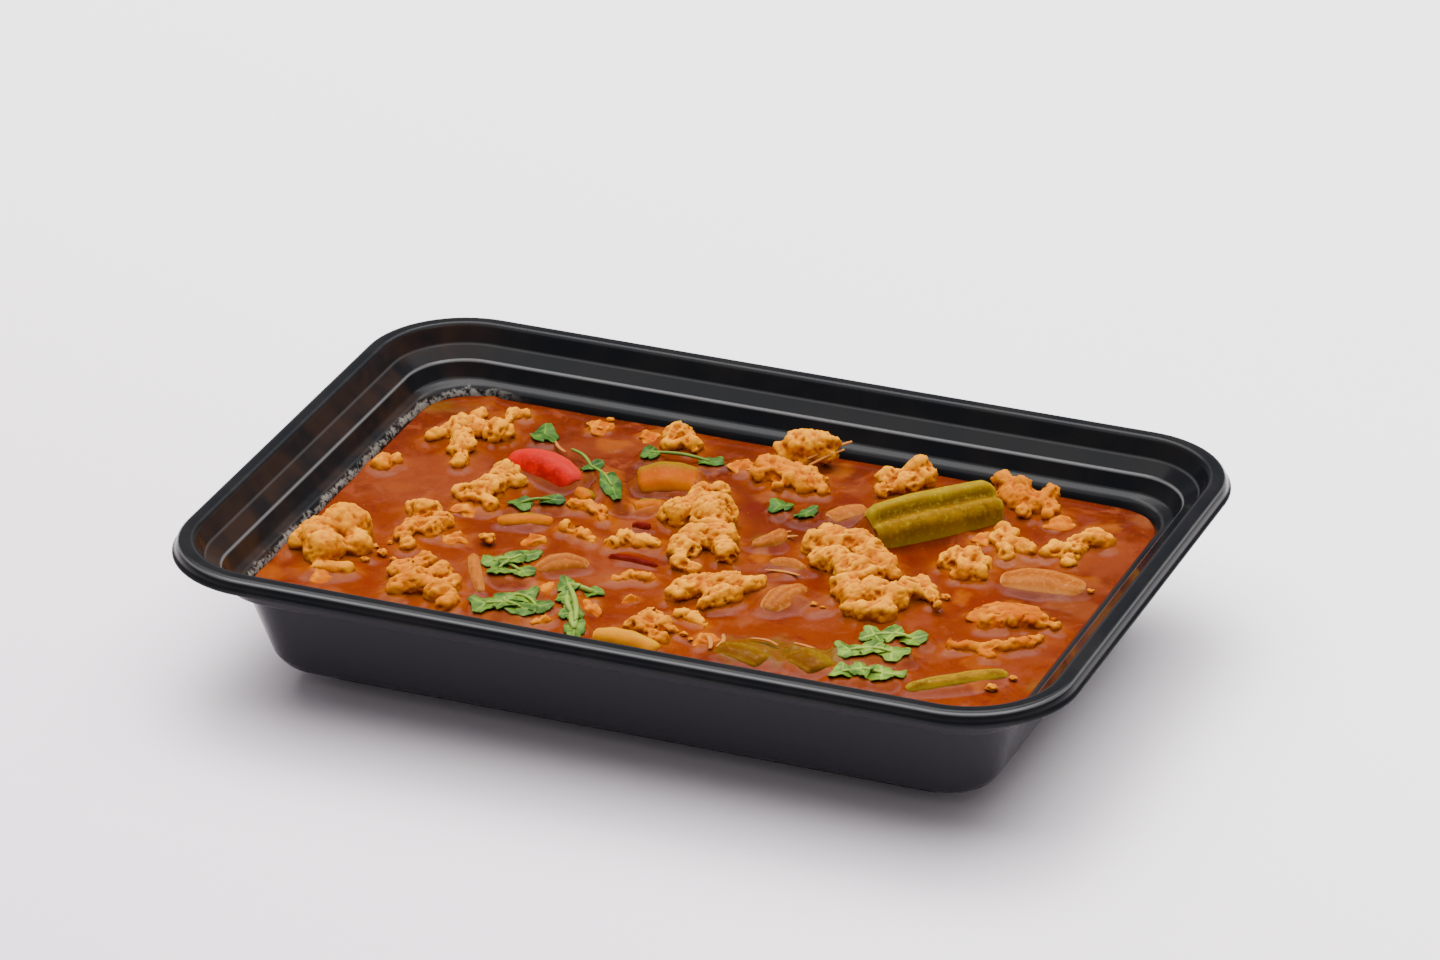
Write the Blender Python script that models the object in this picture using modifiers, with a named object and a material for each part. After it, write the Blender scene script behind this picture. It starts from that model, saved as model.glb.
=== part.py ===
"""A takeaway chicken meal: a black tray filled with chicken, peppers, onion and coriander in sauce.

The tray stands on z = 0 and is centred on x = y = 0, with its long side along x.
Lengths named in capitals are millimetres, and MM turns them into metres.
"""
import math

import bmesh
import bpy
import numpy as np
from mathutils import Matrix, Vector, noise

MM = 0.001

# Tray
TRAY_LENGTH = 222.0
TRAY_WIDTH = 154.6
TRAY_WALL = 0.8
RIM_HEIGHT = 38.5
FLOOR_HEIGHT = TRAY_WALL
LIP_CORNER_RADIUS = 26.3
# Corner radius of the body at insets from the lip: under the ledges, at the bottom, at the foot
BODY_CORNERS = ((12.3, 14.0), (16.0, 14.0), (21.0, 12.0), (31.0, 6.0))
CORNER_STEPS = 5
# Inside of the tray as inset from the lip's edge and height above the table: rim, upper ledge,
# lower ledge, sloping wall, rounded bottom, foot and floor
INSIDE = (
    (2.4, RIM_HEIGHT), (4.9, RIM_HEIGHT), (5.7, 37.9), (7.7, 33.9), (11.5, 31.2), (13.3, 27.3),
    (15.4, 26.8), (16.5, 25.6), (21.5, 8.3), (22.9, 6.3), (26.6, 5.2), (31.2, 4.5),
    (32.2, FLOOR_HEIGHT), (33.6, FLOOR_HEIGHT),
)
# The lip hanging from the rim: down its inner face, round its edge, up its outer face
LIP = ((1.8, 36.9), (1.7, 35.5), (0.4, 35.0), (0.0, 35.4), (0.9, 36.1), (1.0, 37.1), (1.5, 38.1))

# Sauce and the way pieces sit in it
SAUCE_LEVEL = 24.5
GAP = 0.35
SINK = 1.3

# Chicken
PIECE_GAP = 0.9
SMALLEST_LOBE = 0.9
BRIDGE_OVERLAP = 1.2
BRIDGE_SHARE = 0.8
CHICKEN_REACH = (93.6, 60.0)
VOXEL = 0.75
CRAG_HEIGHT = 0.45
CRAG_SIZE = 2.6
SKIN_SHARE = 0.049
LEAST_FACETS = 100
SHORTEST_EDGES = (0.9, 0.7, 0.5, 0.3, 0.1)

# Slices, leaves and stems
SLIM = 5.5
LEAF_THICKNESS = 0.5
LEAF_WAVE = 0.7
LEAF_POINTS = 12
NOTCH = 0.16
STEM_HALF = 0.4
STEM_RISE = 0.3

# Chicken pieces: rise of the lobes' centres above the sauce, then lobes as x, y and radius, with
# an own rise where a fourth number follows
CHICKEN = {
    "back_left": (1.2, (
        (-79.5, 39, 4), (-84.5, 33.5, 2.2), (-70.5, 40, 3.8), (-72, 51, 1.8),
        (-69, 52.5, 1.6), (-79, 47.5, 2), (-75.5, 29.5, 3.2), (-73.5, 22.5, 2.3))),
    "left_edge": (0.5, ((-90, 15.5, 2.8), (-88, 18.5, 1.9), (-92, 16.5, 1.3))),
    "round": (2.2, (
        (-83, -21.5, 6.2), (-87, -28.5, 5), (-90.5, -31.5, 2.4), (-83, -33.5, 4.8), (-76.5, -28, 3.4),
        (-81.5, -40, 2, 0.8), (-78, -39.5, 2, 0.8), (-75, -38, 2, 0.8))),
    "mid_left_upper": (1.5, (
        (-60, 19.5, 3.5), (-55.5, 17.5, 2), (-60, 10.5, 3.8), (-62, 6.5, 3.5), (-57, 3.5, 2.3), (-65.5, 7, 2.5))),
    "mid_left_lower": (1.2, (
        (-69, -6, 3.8), (-73, -3.5, 2.4), (-64, -9, 3.2), (-64.5, -13.5, 2.2), (-69.5, -12.5, 2.4),
        (-69.5, -18.5, 2.5), (-66.5, -22.5, 1.8))),
    "front_left": (1.4, (
        (-56, -40.5, 4.2), (-62, -35.5, 3.2), (-59, -29, 2.5), (-50, -42.5, 3.3), (-53, -33.5, 3),
        (-48.5, -37, 2.4), (-46, -43.5, 2), (-46, -47.5, 2), (-59.5, -43.5, 2.8))),
    "small_left": (0.8, ((-38.5, 12, 2.2), (-35, 12, 2), (-32, 11, 2.2), (-29.5, 8, 1.6))),
    "small_low": (0.6, ((-36, 0.5, 2), (-33, -0.5, 2), (-30, -1.5, 1.8), (-27.5, -3, 1.5))),
    "centre": (2.0, (
        (-5, 15.5, 6.2), (-10, 20.5, 4), (-11.5, 26.5, 3), (-8.5, 29.5, 2.3), (-12.5, 14.5, 4.2), (-16, 15.5, 2.3),
        (1, 6, 4.3), (5.5, -0.5, 3), (-4.5, 3.5, 4), (-5, -2, 3.7), (-3, -8.5, 2.2), (1, -10.5, 1.8))),
    "centre_arm": (0.8, ((-22.5, -4, 2), (-20, -0.5, 2.7), (-16, -0.5, 2.4), (-13, 0, 2))),
    "top_ball": (1.5, ((-29, 53.5, 3.8), (-24.5, 51.5, 2.4), (-22.5, 49, 1.5), (-29, 49, 2.3))),
    "far_back": (1.8, (
        (4.5, 54.5, 3.5), (4, 54.8, 3.7, 5.2), (0.5, 55.5, 3, 4.8), (7, 55.5, 3, 5.8), (10.5, 56, 1.9, 6.8),
        (-0.5, 54, 2.4), (9, 55, 2.4, 3.4), (-3, 55, 2, 2.6))),
    "back_crinkled": (1.5, (
        (0, 47, 2.8), (-4, 47.5, 2.8), (4, 46.5, 2.6), (-3, 42, 2.5), (5, 42.5, 3.2), (8.5, 45.5, 2.6),
        (3.5, 38.5, 2), (9, 40, 2.3), (12, 44, 2.2), (13.5, 40.5, 1.6), (0.5, 43, 2.6))),
    "back_right": (2.0, (
        (30.5, 54, 2.6), (32.5, 55.5, 2.8, 4.2), (35, 53.5, 2.4, 2.8), (26.5, 50.5, 2.8), (30.5, 49, 2.6),
        (27.5, 44.5, 2.2), (32.5, 50.5, 2.6))),
    "far_right": (1.8, (
        (58.5, 51.5, 3.2), (53.5, 55.5, 2.6, 4), (61.5, 52, 3.2), (64.5, 52, 3), (68, 50.5, 2.3),
        (68, 47.5, 1.6), (62, 46, 2), (59, 55, 2.8, 3.6), (66, 55.5, 2.2, 3.4), (55, 52.5, 2.4))),
    "right": (1.0, (
        (82.5, 39.5, 3.2), (80, 36, 3), (85.5, 39.5, 2.1), (79.5, 31, 2.5), (75.5, 32.5, 2.1),
        (74.5, 29, 2), (80.5, 26.5, 1.7))),
    "mid_right": (1.4, (
        (64.5, 29, 2.6), (63, 34, 2.3), (60.5, 36.5, 2), (66, 24.5, 2.1), (67.5, 30, 2.1),
        (70, 29, 1.9), (61, 31, 2))),
    "mid_right_low": (1.4, (
        (56, 17.5, 3.2), (59, 19, 3.2), (60, 12.5, 3), (63, 13, 2.6), (63, 18, 2), (54, 15.5, 2))),
    "biggest": (2.2, (
        (28, 13, 4.7), (23, 12, 3.5), (23, 18.5, 2.5), (32.5, 14.5, 4.2), (37.5, 11, 4.2), (42.5, 7, 3.3),
        (45.5, 5, 1.9), (26, 5, 2.2), (30.5, 5.5, 3.8), (35.5, 2, 4.2), (39.5, 1, 4.2), (37, -6.5, 3.3),
        (41, -10.5, 3.5), (45, -7.5, 4.2), (49.5, -8, 4.2), (50, -14.5, 3.2), (46, -16, 2.4), (42, -16, 1.9),
        (51.5, -3, 3.2), (53, 2.5, 2.2), (55.5, -0.5, 2.3), (58.5, -4, 1.6), (60.5, -6.5, 1.4))),
    "lower_mid": (1.6, (
        (6, -18, 3.7), (3, -20.5, 3.2), (1.5, -23.5, 2.3), (9.5, -16, 3.7), (12, -14, 3.4), (15.5, -13.5, 2.7),
        (11, -21.5, 3), (14, -18.5, 2.7), (18, -10.5, 1.7), (10, -25, 2))),
    "front_mid": (1.2, (
        (1, -36, 3), (0.5, -39.5, 2.7), (4.5, -38.5, 2.7), (4.5, -43, 2.2), (7, -39.5, 1.8), (-2.5, -41, 1.8),
        (8, -44.5, 1.5))),
    "front_flake": (1.0, ((5.5, -31, 1.5), (8.5, -31.5, 1.8), (11.5, -32.5, 1.5), (14, -34.5, 1.3))),
    "orange_dome": (1.0, (
        (75.5, -8, 2.5), (73, -10, 2), (79, -6.5, 2.7), (83, -6, 2.3), (86, -4, 2), (88.5, -5, 1.6))),
    "orange_row": (0.8, (
        (76.5, -21, 2), (73, -21.5, 1.8), (69.5, -22, 1.5), (80, -19.5, 2), (83, -17, 2), (86, -15, 2),
        (87.5, -12, 1.5), (79.5, -23.5, 1.6))),
    "low_lumps": (0.6, ((-15, -19.5, 1.4), (-12.5, -17, 1.7), (-10, -16.5, 1.5), (-7.5, -16.5, 1.6))),
    "front_small": (0.6, ((-23.5, -47, 1.6), (-21.5, -44.5, 1.6))),
}

# Slices of pepper, chilli and onion: three points of the path as x, y and height above the
# sauce, then width, thickness, crown (middle above edges), taper of the ends, roll in degrees
SLICES = {
    "pepper_red": (((-62.5, 28.2, 1.2), (-52.5, 26.3, 2.8), (-42.8, 21.2, 1.4)), 9, 1.6, 1.8, 0.55, 22),
    "pepper_orange": (((-28.5, 27.8, 1.4), (-22, 30, 3.0), (-15.5, 32.6, 1.6)), 9.5, 1.8, 1.6, 0.8, 20),
    "pepper_orange_chip": (((-40.5, 18.8, 0.6), (-38.2, 17.6, 1.0), (-36, 15.8, 0.6)), 4, 1.5, 0.9, 0.8, 0),
    "pepper_orange_low": (((-25, 16.4, 0.5), (-22, 18, 1.1), (-19.6, 19.4, 0.5)), 4.6, 1.5, 0.9, 0.8, 0),
    "pepper_strip": (((-52.5, -2, 0.3), (-46, 1, 0.8), (-40.2, 2.6, 0.3)), 4.6, 1.4, 0.8, 0.7, 0),
    "pepper_yellow": (((-8.1, -48, 0.9), (-0.5, -47.8, 1.6), (8, -49.4, 0.7)), 5, 1.6, 1.0, 0.75, 20),
    "pepper_green_wedge": (((33.2, 22.4, 3.0), (44, 33.5, 3.6), (55.5, 46, 3.4)), 14.5, 3.4, 2.6, 0.85, 24),
    "pepper_olive_right": (((37.3, -39.6, 0.5), (42.3, -41.2, 1.1), (46.8, -44, 0.4)), 8.6, 1.5, 1.0, 0.75, 0),
    "pepper_olive_left": (((20.5, -42, 0.4), (27, -43.4, 0.9), (33, -45.2, 0.4)), 7, 1.4, 0.9, 0.8, 0),
    "pepper_green_strip": (((67.4, -45, 0.3), (76.6, -38, 1.0), (86, -29.6, 0.3)), 4.6, 1.5, 0.9, 0.6, 0),
    "chilli_dark": (((-21.6, 7.4, 0.4), (-19.6, 7.8, 0.8), (-17.6, 8.2, 0.4)), 2.8, 1.2, 0.6, 0.5, 0),
    "chilli_strip": (((-21, -8, 0.3), (-15.5, -8.6, 0.6), (-8.6, -9.2, 0.3)), 3, 1.2, 0.6, 0.5, 0),
    "onion_petal": (((-33.5, -22.5, 0.4), (-29.2, -17.8, 1.3), (-23.4, -15.6, 0.5)), 6.4, 1.1, 1.5, 0.5, 18),
    "onion_strip": (((-50, -21.2, 0.9), (-46.8, -28, 1.4), (-41.4, -36.8, 0.5)), 3, 1.1, 0.7, 0.6, 0),
    "onion_wedge": (((24, -21, 0.4), (25.5, -14.4, 1.4), (27.8, -7.6, 0.5)), 7.2, 1.2, 1.6, 0.5, 10),
    "onion_slice": (((15.8, 1.4, 0.3), (19.6, 2.4, 0.9), (24.2, 1.4, 0.3)), 4.4, 1.1, 0.8, 0.5, 0),
    "onion_crescent": (((8.4, 8.6, 0.5), (12.4, 11.6, 1.3), (12.2, 17.2, 0.5)), 5, 1.1, 1.2, 0.45, 14),
    "onion_pale": (((20.2, 28.2, 0.5), (23.2, 32, 1.1), (26.4, 35.4, 0.5)), 6, 1.2, 0.9, 0.8, 0),
    "onion_sunken": (((68.6, 13.8, 0.5), (78, 15.6, 1.5), (88.5, 15.8, 0.4)), 11.5, 1.4, 1.6, 0.55, 0),
}

# Coriander: leaves as x, y, height, length, width, direction in degrees and lobes. A stem joins
# the leaves of one sprig, and runs on to a bare end where the second entry gives one
SPRIGS = {
    "coriander_back": (((-60.3, 44.6, 1.2, 9, 6, 110, 3),), None),
    "coriander_blade": (
        ((-41.5, 29.1, 3.0, 6.5, 3.5, 60, 3), (-32.5, 20.5, 3.3, 14, 4.6, -57, 3)), (-50.4, 38.3, 1.6)),
    "coriander_mid": (((-49.8, 6, 2.4, 5.8, 5, 190, 3), (-43.9, 10.2, 2.4, 5.8, 5, 20, 3)), None),
    "coriander_top": (((-31.7, 42.8, 2.2, 6, 4.4, 100, 3), (-17.3, 45, 1.4, 6, 4, 20, 3)), None),
    "coriander_centre": (((7.2, 29, 1.6, 6.5, 5.5, 130, 3),), None),
    "coriander_centre_right": (((14.4, 27.4, 1.6, 7, 3.8, 70, 3),), None),
    "coriander_front_a": (((-41, -27, 2.4, 7.5, 5, 100, 3), (-38.3, -18.4, 2.2, 7, 5.6, 30, 3)), None),
    "coriander_front_b": (((-36.8, -44.5, 2.4, 7.6, 7, 170, 4), (-28.2, -43.9, 2.6, 7, 6.4, -10, 3)), None),
    "coriander_front_c": (
        ((-16.4, -28.9, 1.6, 4.6, 4, 30, 3), (-22.8, -28.7, 2.4, 6.6, 5, 120, 3),
         (-13.1, -47.9, 1.8, 8.6, 4.6, -70, 3)), None),
    "coriander_right_a": (((52.3, -25.6, 2.2, 7.4, 6.4, 130, 4), (60.5, -23.6, 1.8, 6.8, 6, 40, 3)), None),
    "coriander_right_b": (((50, -34.9, 2.4, 7.6, 6, 160, 4), (59, -32.6, 2.4, 7.6, 6.4, 20, 4)), None),
    "coriander_right_c": (((51.6, -44.5, 1.8, 6, 5, 230, 3), (60.2, -42.1, 1.9, 9.6, 6.4, 200, 4)), None),
}

# Base colour and roughness of each kind of thing
FINISHES = {
    "tray": ((0.012, 0.012, 0.013), 0.35),
    "sauce": ((0.46, 0.10, 0.016), 0.18),
    "chicken": ((0.62, 0.32, 0.09), 0.45),
    "pepper_red": ((0.65, 0.04, 0.01), 0.3),
    "pepper_orange": ((0.70, 0.25, 0.01), 0.3),
    "pepper_yellow": ((0.75, 0.42, 0.01), 0.3),
    "pepper_green": ((0.27, 0.20, 0.02), 0.3),
    "chilli": ((0.25, 0.02, 0.01), 0.3),
    "onion": ((0.66, 0.42, 0.27), 0.3),
    "leaf": ((0.12, 0.24, 0.05), 0.5),
}


def clear_scene():
    """Removes what the file starts with."""
    for thing in list(bpy.data.objects):
        bpy.data.objects.remove(thing, do_unlink=True)


def material(kind):
    """Returns the finish of one kind of thing, made once."""
    found = bpy.data.materials.get(kind)
    if found:
        return found
    colour, roughness = FINISHES[kind]
    made = bpy.data.materials.new(kind)
    made.use_nodes = True
    shader = made.node_tree.nodes["Principled BSDF"]
    shader.inputs["Base Color"].default_value = (*colour, 1)
    shader.inputs["Roughness"].default_value = roughness
    shader.inputs["Metallic"].default_value = 0
    return made


def add_object(name, mesh, collection, kind=None):
    """Puts a mesh into the scene as an object, with its finish if a kind is given."""
    made = bpy.data.objects.new(name, mesh)
    collection.objects.link(made)
    if kind:
        mesh.materials.clear()
        mesh.materials.append(material(kind))
    return made


def mesh_from(build, name):
    """Makes a triangulated mesh datablock from a bmesh and frees the bmesh."""
    bmesh.ops.triangulate(build, faces=build.faces)
    mesh = bpy.data.meshes.new(name)
    build.to_mesh(mesh)
    build.free()
    return mesh


def evaluated(thing):
    """A mesh copy of an object with its modifiers applied."""
    graph = bpy.context.evaluated_depsgraph_get()
    graph.update()
    return bpy.data.meshes.new_from_object(thing.evaluated_get(graph))


def over_sauce(x, y, height):
    """A point in metres from x, y and a height above the sauce in millimetres."""
    return Vector((x, y, SAUCE_LEVEL + height)) * MM


def corner_radius(inset):
    """Corner radius of the tray at an inset from the lip's edge."""
    insets, radii = zip(*BODY_CORNERS)
    if inset < insets[0]:
        return max(LIP_CORNER_RADIUS - inset, radii[0])
    return float(np.interp(inset, insets, radii))


def tray_ring(inset, height):
    """Points of the tray's rounded rectangle at an inset and a height, counter-clockwise."""
    radius = corner_radius(inset)
    centre_x = TRAY_LENGTH / 2 - inset - radius
    centre_y = TRAY_WIDTH / 2 - inset - radius
    points = []
    for quarter, (sign_x, sign_y) in enumerate(((1, 1), (-1, 1), (-1, -1), (1, -1))):
        for step in range(CORNER_STEPS + 1):
            turn = math.radians(90 * quarter + 90 * step / CORNER_STEPS)
            points.append(Vector((sign_x * centre_x + radius * math.cos(turn),
                                  sign_y * centre_y + radius * math.sin(turn), height)) * MM)
    return points


def loft(rings):
    """Joins rings of equal length into one closed body, with a cap on the first and the last."""
    build = bmesh.new()
    rows = [[build.verts.new(point) for point in ring] for ring in rings]
    for low, high in zip(rows, rows[1:]):
        for i in range(len(low)):
            j = (i + 1) % len(low)
            build.faces.new((low[i], low[j], high[j], high[i]))
    build.faces.new(rows[0][::-1])
    build.faces.new(rows[-1])
    bmesh.ops.recalc_face_normals(build, faces=build.faces)
    return build


def offset_profile(points, distance):
    """A profile moved sideways by a distance, outwards where it is positive, with mitred corners."""
    moved = []
    for index, (inset, height) in enumerate(points):
        normals = []
        for a, b in ((index - 1, index), (index, index + 1)):
            if a >= 0 and b < len(points):
                run = Vector(points[b]) - Vector(points[a])
                normals.append(Vector((run.y, -run.x)).normalized())
        mitre = sum(normals, Vector((0, 0))).normalized()
        reach = distance / mitre.dot(normals[0])
        moved.append((inset + mitre.x * reach, height + mitre.y * reach))
    return moved


def tray_mesh():
    """The tray: a foot, sloping walls, two ledges for a lid, a flat rim and a lip."""
    outside = offset_profile(INSIDE, TRAY_WALL)[::-1]
    return mesh_from(loft([tray_ring(*point) for point in (*outside, *LIP, *INSIDE)]), "tray")


def sauce_mesh():
    """The sauce: it fills the tray up to its level, a gap short of the wall."""
    inner = [point for point in offset_profile(INSIDE, -GAP) if point[1] < SAUCE_LEVEL]
    wall = offset_profile(INSIDE, -GAP)[-len(inner) - 1]
    share = (SAUCE_LEVEL - inner[0][1]) / (wall[1] - inner[0][1])
    edge = (inner[0][0] + (wall[0] - inner[0][0]) * share, SAUCE_LEVEL)
    return mesh_from(loft([tray_ring(*point) for point in (*inner[::-1], edge)]), "sauce")


def bridged(shape, rise):
    """Lobes of one piece, with small lobes between neighbours that would not meet."""
    lobes = []
    for x, y, radius, *own in shape:
        place = Vector((x, y, own[0] if own else rise))
        if lobes:
            near, near_radius = min(lobes, key=lambda lobe: (lobe[0] - place).length - lobe[1])
            space = (near - place).length - near_radius - radius
            if space > -BRIDGE_OVERLAP:
                small = BRIDGE_SHARE * min(radius, near_radius)
                count = math.ceil((space + BRIDGE_OVERLAP) / small)
                ahead = (place - near).normalized()
                for step in range(count):
                    run = near_radius + space * (step + 0.5) / count
                    lobes.append((near + ahead * run, small))
        lobes.append((place, radius))
    return lobes


def settled_lobes():
    """Lobes of every chicken piece, kept inside the tray and drawn in where pieces would touch."""
    lobes = []
    for name, (rise, shape) in CHICKEN.items():
        for place, radius in bridged(shape, rise):
            for axis, reach in enumerate(CHICKEN_REACH):
                place[axis] = max(radius - reach, min(reach - radius, place[axis]))
            lobes.append([name, place, radius])
    for first in lobes:
        for second in lobes:
            if first[0] < second[0]:
                short = first[2] + second[2] + PIECE_GAP - (first[1] - second[1]).length
                if short > 0:
                    first[2] = max(first[2] - short / 2, SMALLEST_LOBE)
                    second[2] = max(second[2] - short / 2, SMALLEST_LOBE)
    return lobes


def flatten_under(build):
    """Cuts a closed bmesh off where it is sunk in the sauce and closes it with a flat underside."""
    everything = list(build.verts) + list(build.edges) + list(build.faces)
    cut = bmesh.ops.bisect_plane(build, geom=everything, dist=1e-6, plane_co=over_sauce(0, 0, -SINK),
                                 plane_no=(0, 0, -1), clear_outer=True)
    rim = [part for part in cut["geom_cut"] if isinstance(part, bmesh.types.BMEdge)]
    bmesh.ops.holes_fill(build, edges=rim)
    bmesh.ops.triangulate(build, faces=build.faces)


def plainer(build):
    """A copy of a closed bmesh without its short edges, as far as it stays closed."""
    for length in SHORTEST_EDGES:
        copy = build.copy()
        bmesh.ops.dissolve_degenerate(copy, dist=length * MM, edges=copy.edges)
        bmesh.ops.triangulate(copy, faces=copy.faces)
        bmesh.ops.recalc_face_normals(copy, faces=copy.faces)
        if all(edge.is_manifold for edge in copy.edges):
            build.free()
            return copy
        copy.free()
    return build


def chicken_mesh(name, lobes, shop):
    """One piece of battered chicken: lobes grown together, with a craggy skin and a flat underside."""
    build = bmesh.new()
    for _, place, radius in lobes:
        ball = bmesh.ops.create_icosphere(build, subdivisions=3, radius=radius * MM)
        bmesh.ops.translate(build, verts=ball["verts"], vec=over_sauce(*place))
    draft = add_object(name + "_draft", mesh_from(build, name), shop)
    grow = draft.modifiers.new("grow", "REMESH")
    grow.mode = "VOXEL"
    grow.voxel_size = VOXEL * MM
    soften = draft.modifiers.new("soften", "SMOOTH")
    soften.factor = 0.5
    soften.iterations = 3
    skin = evaluated(draft)
    for vertex in skin.vertices:
        crag = noise.noise(Vector(vertex.co) / (CRAG_SIZE * MM))
        vertex.co += vertex.normal * crag * CRAG_HEIGHT * MM
    rough = add_object(name + "_rough", skin, shop)
    fewer = rough.modifiers.new("fewer", "DECIMATE")
    fewer.ratio = max(SKIN_SHARE, LEAST_FACETS / (2 * len(skin.polygons)))
    build = bmesh.new()
    build.from_mesh(evaluated(rough))
    flatten_under(build)
    for thing in (draft, rough):
        bpy.data.objects.remove(thing, do_unlink=True)
    return mesh_from(plainer(build), name)


def pocket_mesh(mesh, name):
    """A copy of a piece moved out along its normals, which cuts a pocket with a gap all round."""
    build = bmesh.new()
    build.from_mesh(mesh)
    moves = [vertex.normal * min(vertex.calc_shell_factor(), 2.0) for vertex in build.verts]
    for vertex, move in zip(build.verts, moves):
        vertex.co += move * GAP * MM
    return mesh_from(build, name)


def smooth_path(points, steps):
    """Points on the quadratic curve that passes through three given points."""
    start, middle, end = (Vector(point) for point in points)
    control = middle * 2 - (start + end) / 2
    shares = [step / steps for step in range(steps + 1)]
    return [start * (1 - t) ** 2 + control * 2 * t * (1 - t) + end * t ** 2 for t in shares]


def slice_mesh(name, path, width, thickness, crown, taper, roll):
    """A curved slice: a crowned band swept along its path, narrower at its ends."""
    steps, columns = (4, 2) if width < SLIM else (6, 3)
    line = smooth_path(path, steps)
    rings = []
    for index, place in enumerate(line):
        ahead = (line[min(index + 1, steps)] - line[max(index - 1, 0)]).normalized()
        side = Vector((0, 0, 1)).cross(ahead).normalized()
        side = Matrix.Rotation(math.radians(roll), 3, ahead) @ side
        up = ahead.cross(side)
        fade = taper + (1 - taper) * math.sin(math.pi * (0.12 + 0.76 * index / steps))
        over, under = [], []
        for column in range(columns + 1):
            across = 1 - 2 * column / columns
            half = thickness / 2 * (1 - 0.45 * abs(across) ** 3)
            middle = place + side * width / 2 * fade * across + up * crown * fade * (1 - across ** 2)
            low = middle - up * half
            high = middle + up * half
            low.z = max(low.z, GAP)
            high.z = max(high.z, low.z + 0.6 * thickness)
            over.append(over_sauce(*high))
            under.append(over_sauce(*low))
        rings.append(over + under[::-1])
    return mesh_from(loft(rings), name)


def leaf_row(leaf, share):
    """One ring of a leaf's middle surface: its lobed edge at share 1, a plain ring inside it."""
    x, y, height, length, width, direction, lobes = leaf
    tilt = math.radians(direction)
    row = []
    for step in range(LEAF_POINTS):
        angle = 2 * math.pi * step / LEAF_POINTS
        notch = 1 - NOTCH + NOTCH * math.cos(lobes * angle) if share == 1 else 1 - NOTCH
        along = length / 2 * math.cos(angle) * notch * share
        across = width / 2 * math.sin(angle) * notch * share
        wave = LEAF_WAVE * math.sin(2.3 * angle + length) * share ** 2
        row.append((x + along * math.cos(tilt) - across * math.sin(tilt),
                    y + along * math.sin(tilt) + across * math.cos(tilt),
                    max(height + wave, GAP + LEAF_THICKNESS / 2)))
    return row


def add_leaf(build, leaf):
    """Adds both faces of a wavy leaf, split into triangles alike, and returns its edge as pairs."""
    x, y, height = leaf[:3]
    edges = []
    for side in (LEAF_THICKNESS / 2, -LEAF_THICKNESS / 2):
        hub = build.verts.new(over_sauce(x, y, height + side))
        near, far = ([build.verts.new(over_sauce(a, b, c + side)) for a, b, c in leaf_row(leaf, share)]
                     for share in (0.5, 1))
        for i in range(LEAF_POINTS):
            j = (i + 1) % LEAF_POINTS
            build.faces.new((hub, near[i], near[j]))
            build.faces.new((near[i], far[i], far[j]))
            build.faces.new((near[i], far[j], near[j]))
        edges.append(far)
    return list(zip(*edges))


def stem_ring(build, place, ahead):
    """Four corners of a stem's cross-section, as left and right pairs of upper and lower."""
    side = Vector((0, 0, 1)).cross(ahead).normalized() * STEM_HALF
    rise = Vector((0, 0, STEM_HALF))
    return [[build.verts.new(over_sauce(*(place + side * way + up))) for up in (rise, -rise)] for way in (1, -1)]


def add_stem(build, rings):
    """Joins the cross-sections of a stem, each given as a left and a right pair."""
    for (left, right), (next_left, next_right) in zip(rings, rings[1:]):
        build.faces.new((left[0], right[0], next_right[0], next_left[0]))
        build.faces.new((right[0], right[1], next_right[1], next_right[0]))
        build.faces.new((right[1], left[1], next_left[1], next_right[1]))
        build.faces.new((left[1], left[0], next_left[0], next_left[1]))


def sprig_mesh(name, leaves, bare_end):
    """Leaves of one sprig as one thin solid: a stem runs from edge to edge, and on to a bare end."""
    build = bmesh.new()
    hubs = [Vector(leaf[:3]) for leaf in leaves]
    edges = [add_leaf(build, leaf) for leaf in leaves]
    opened = [set() for _ in leaves]

    def gate(index, target):
        """The edge span of a leaf that faces a target, opened for a stem."""
        edge = edges[index]
        goal = over_sauce(*target)
        spans = [(edge[i], edge[(i + 1) % LEAF_POINTS]) for i in range(LEAF_POINTS)]
        i = min((i for i in range(LEAF_POINTS) if i not in opened[index]),
                key=lambda i: ((spans[i][0][0].co + spans[i][1][0].co) / 2 - goal).length)
        opened[index].add(i)
        return spans[i]

    for index in range(len(leaves) - 1):
        start, end = hubs[index], hubs[index + 1]
        right, left = gate(index, end)
        next_left, next_right = gate(index + 1, start)
        middle = stem_ring(build, (start + end) / 2 + Vector((0, 0, STEM_RISE)), end - start)
        add_stem(build, ((left, right), middle, (next_left, next_right)))
    if bare_end:
        tail = Vector(bare_end)
        right, left = gate(0, tail)
        end = stem_ring(build, tail, tail - hubs[0])
        add_stem(build, ((left, right), end))
        build.faces.new((end[0][0], end[0][1], end[1][1], end[1][0]))
    for edge, gates in zip(edges, opened):
        for i in range(LEAF_POINTS):
            if i not in gates:
                first, second = edge[i], edge[(i + 1) % LEAF_POINTS]
                build.faces.new((first[0], first[1], second[1], second[0]))
    bmesh.ops.recalc_face_normals(build, faces=build.faces)
    return mesh_from(build, name)


def slice_kind(name):
    """The finish of a slice, from the words in its name."""
    for word, kind in (("red", "pepper_red"), ("yellow", "pepper_yellow"), ("green", "pepper_green"),
                       ("olive", "pepper_green"), ("chilli", "chilli"), ("onion", "onion")):
        if word in name:
            return kind
    return "pepper_orange"


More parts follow.
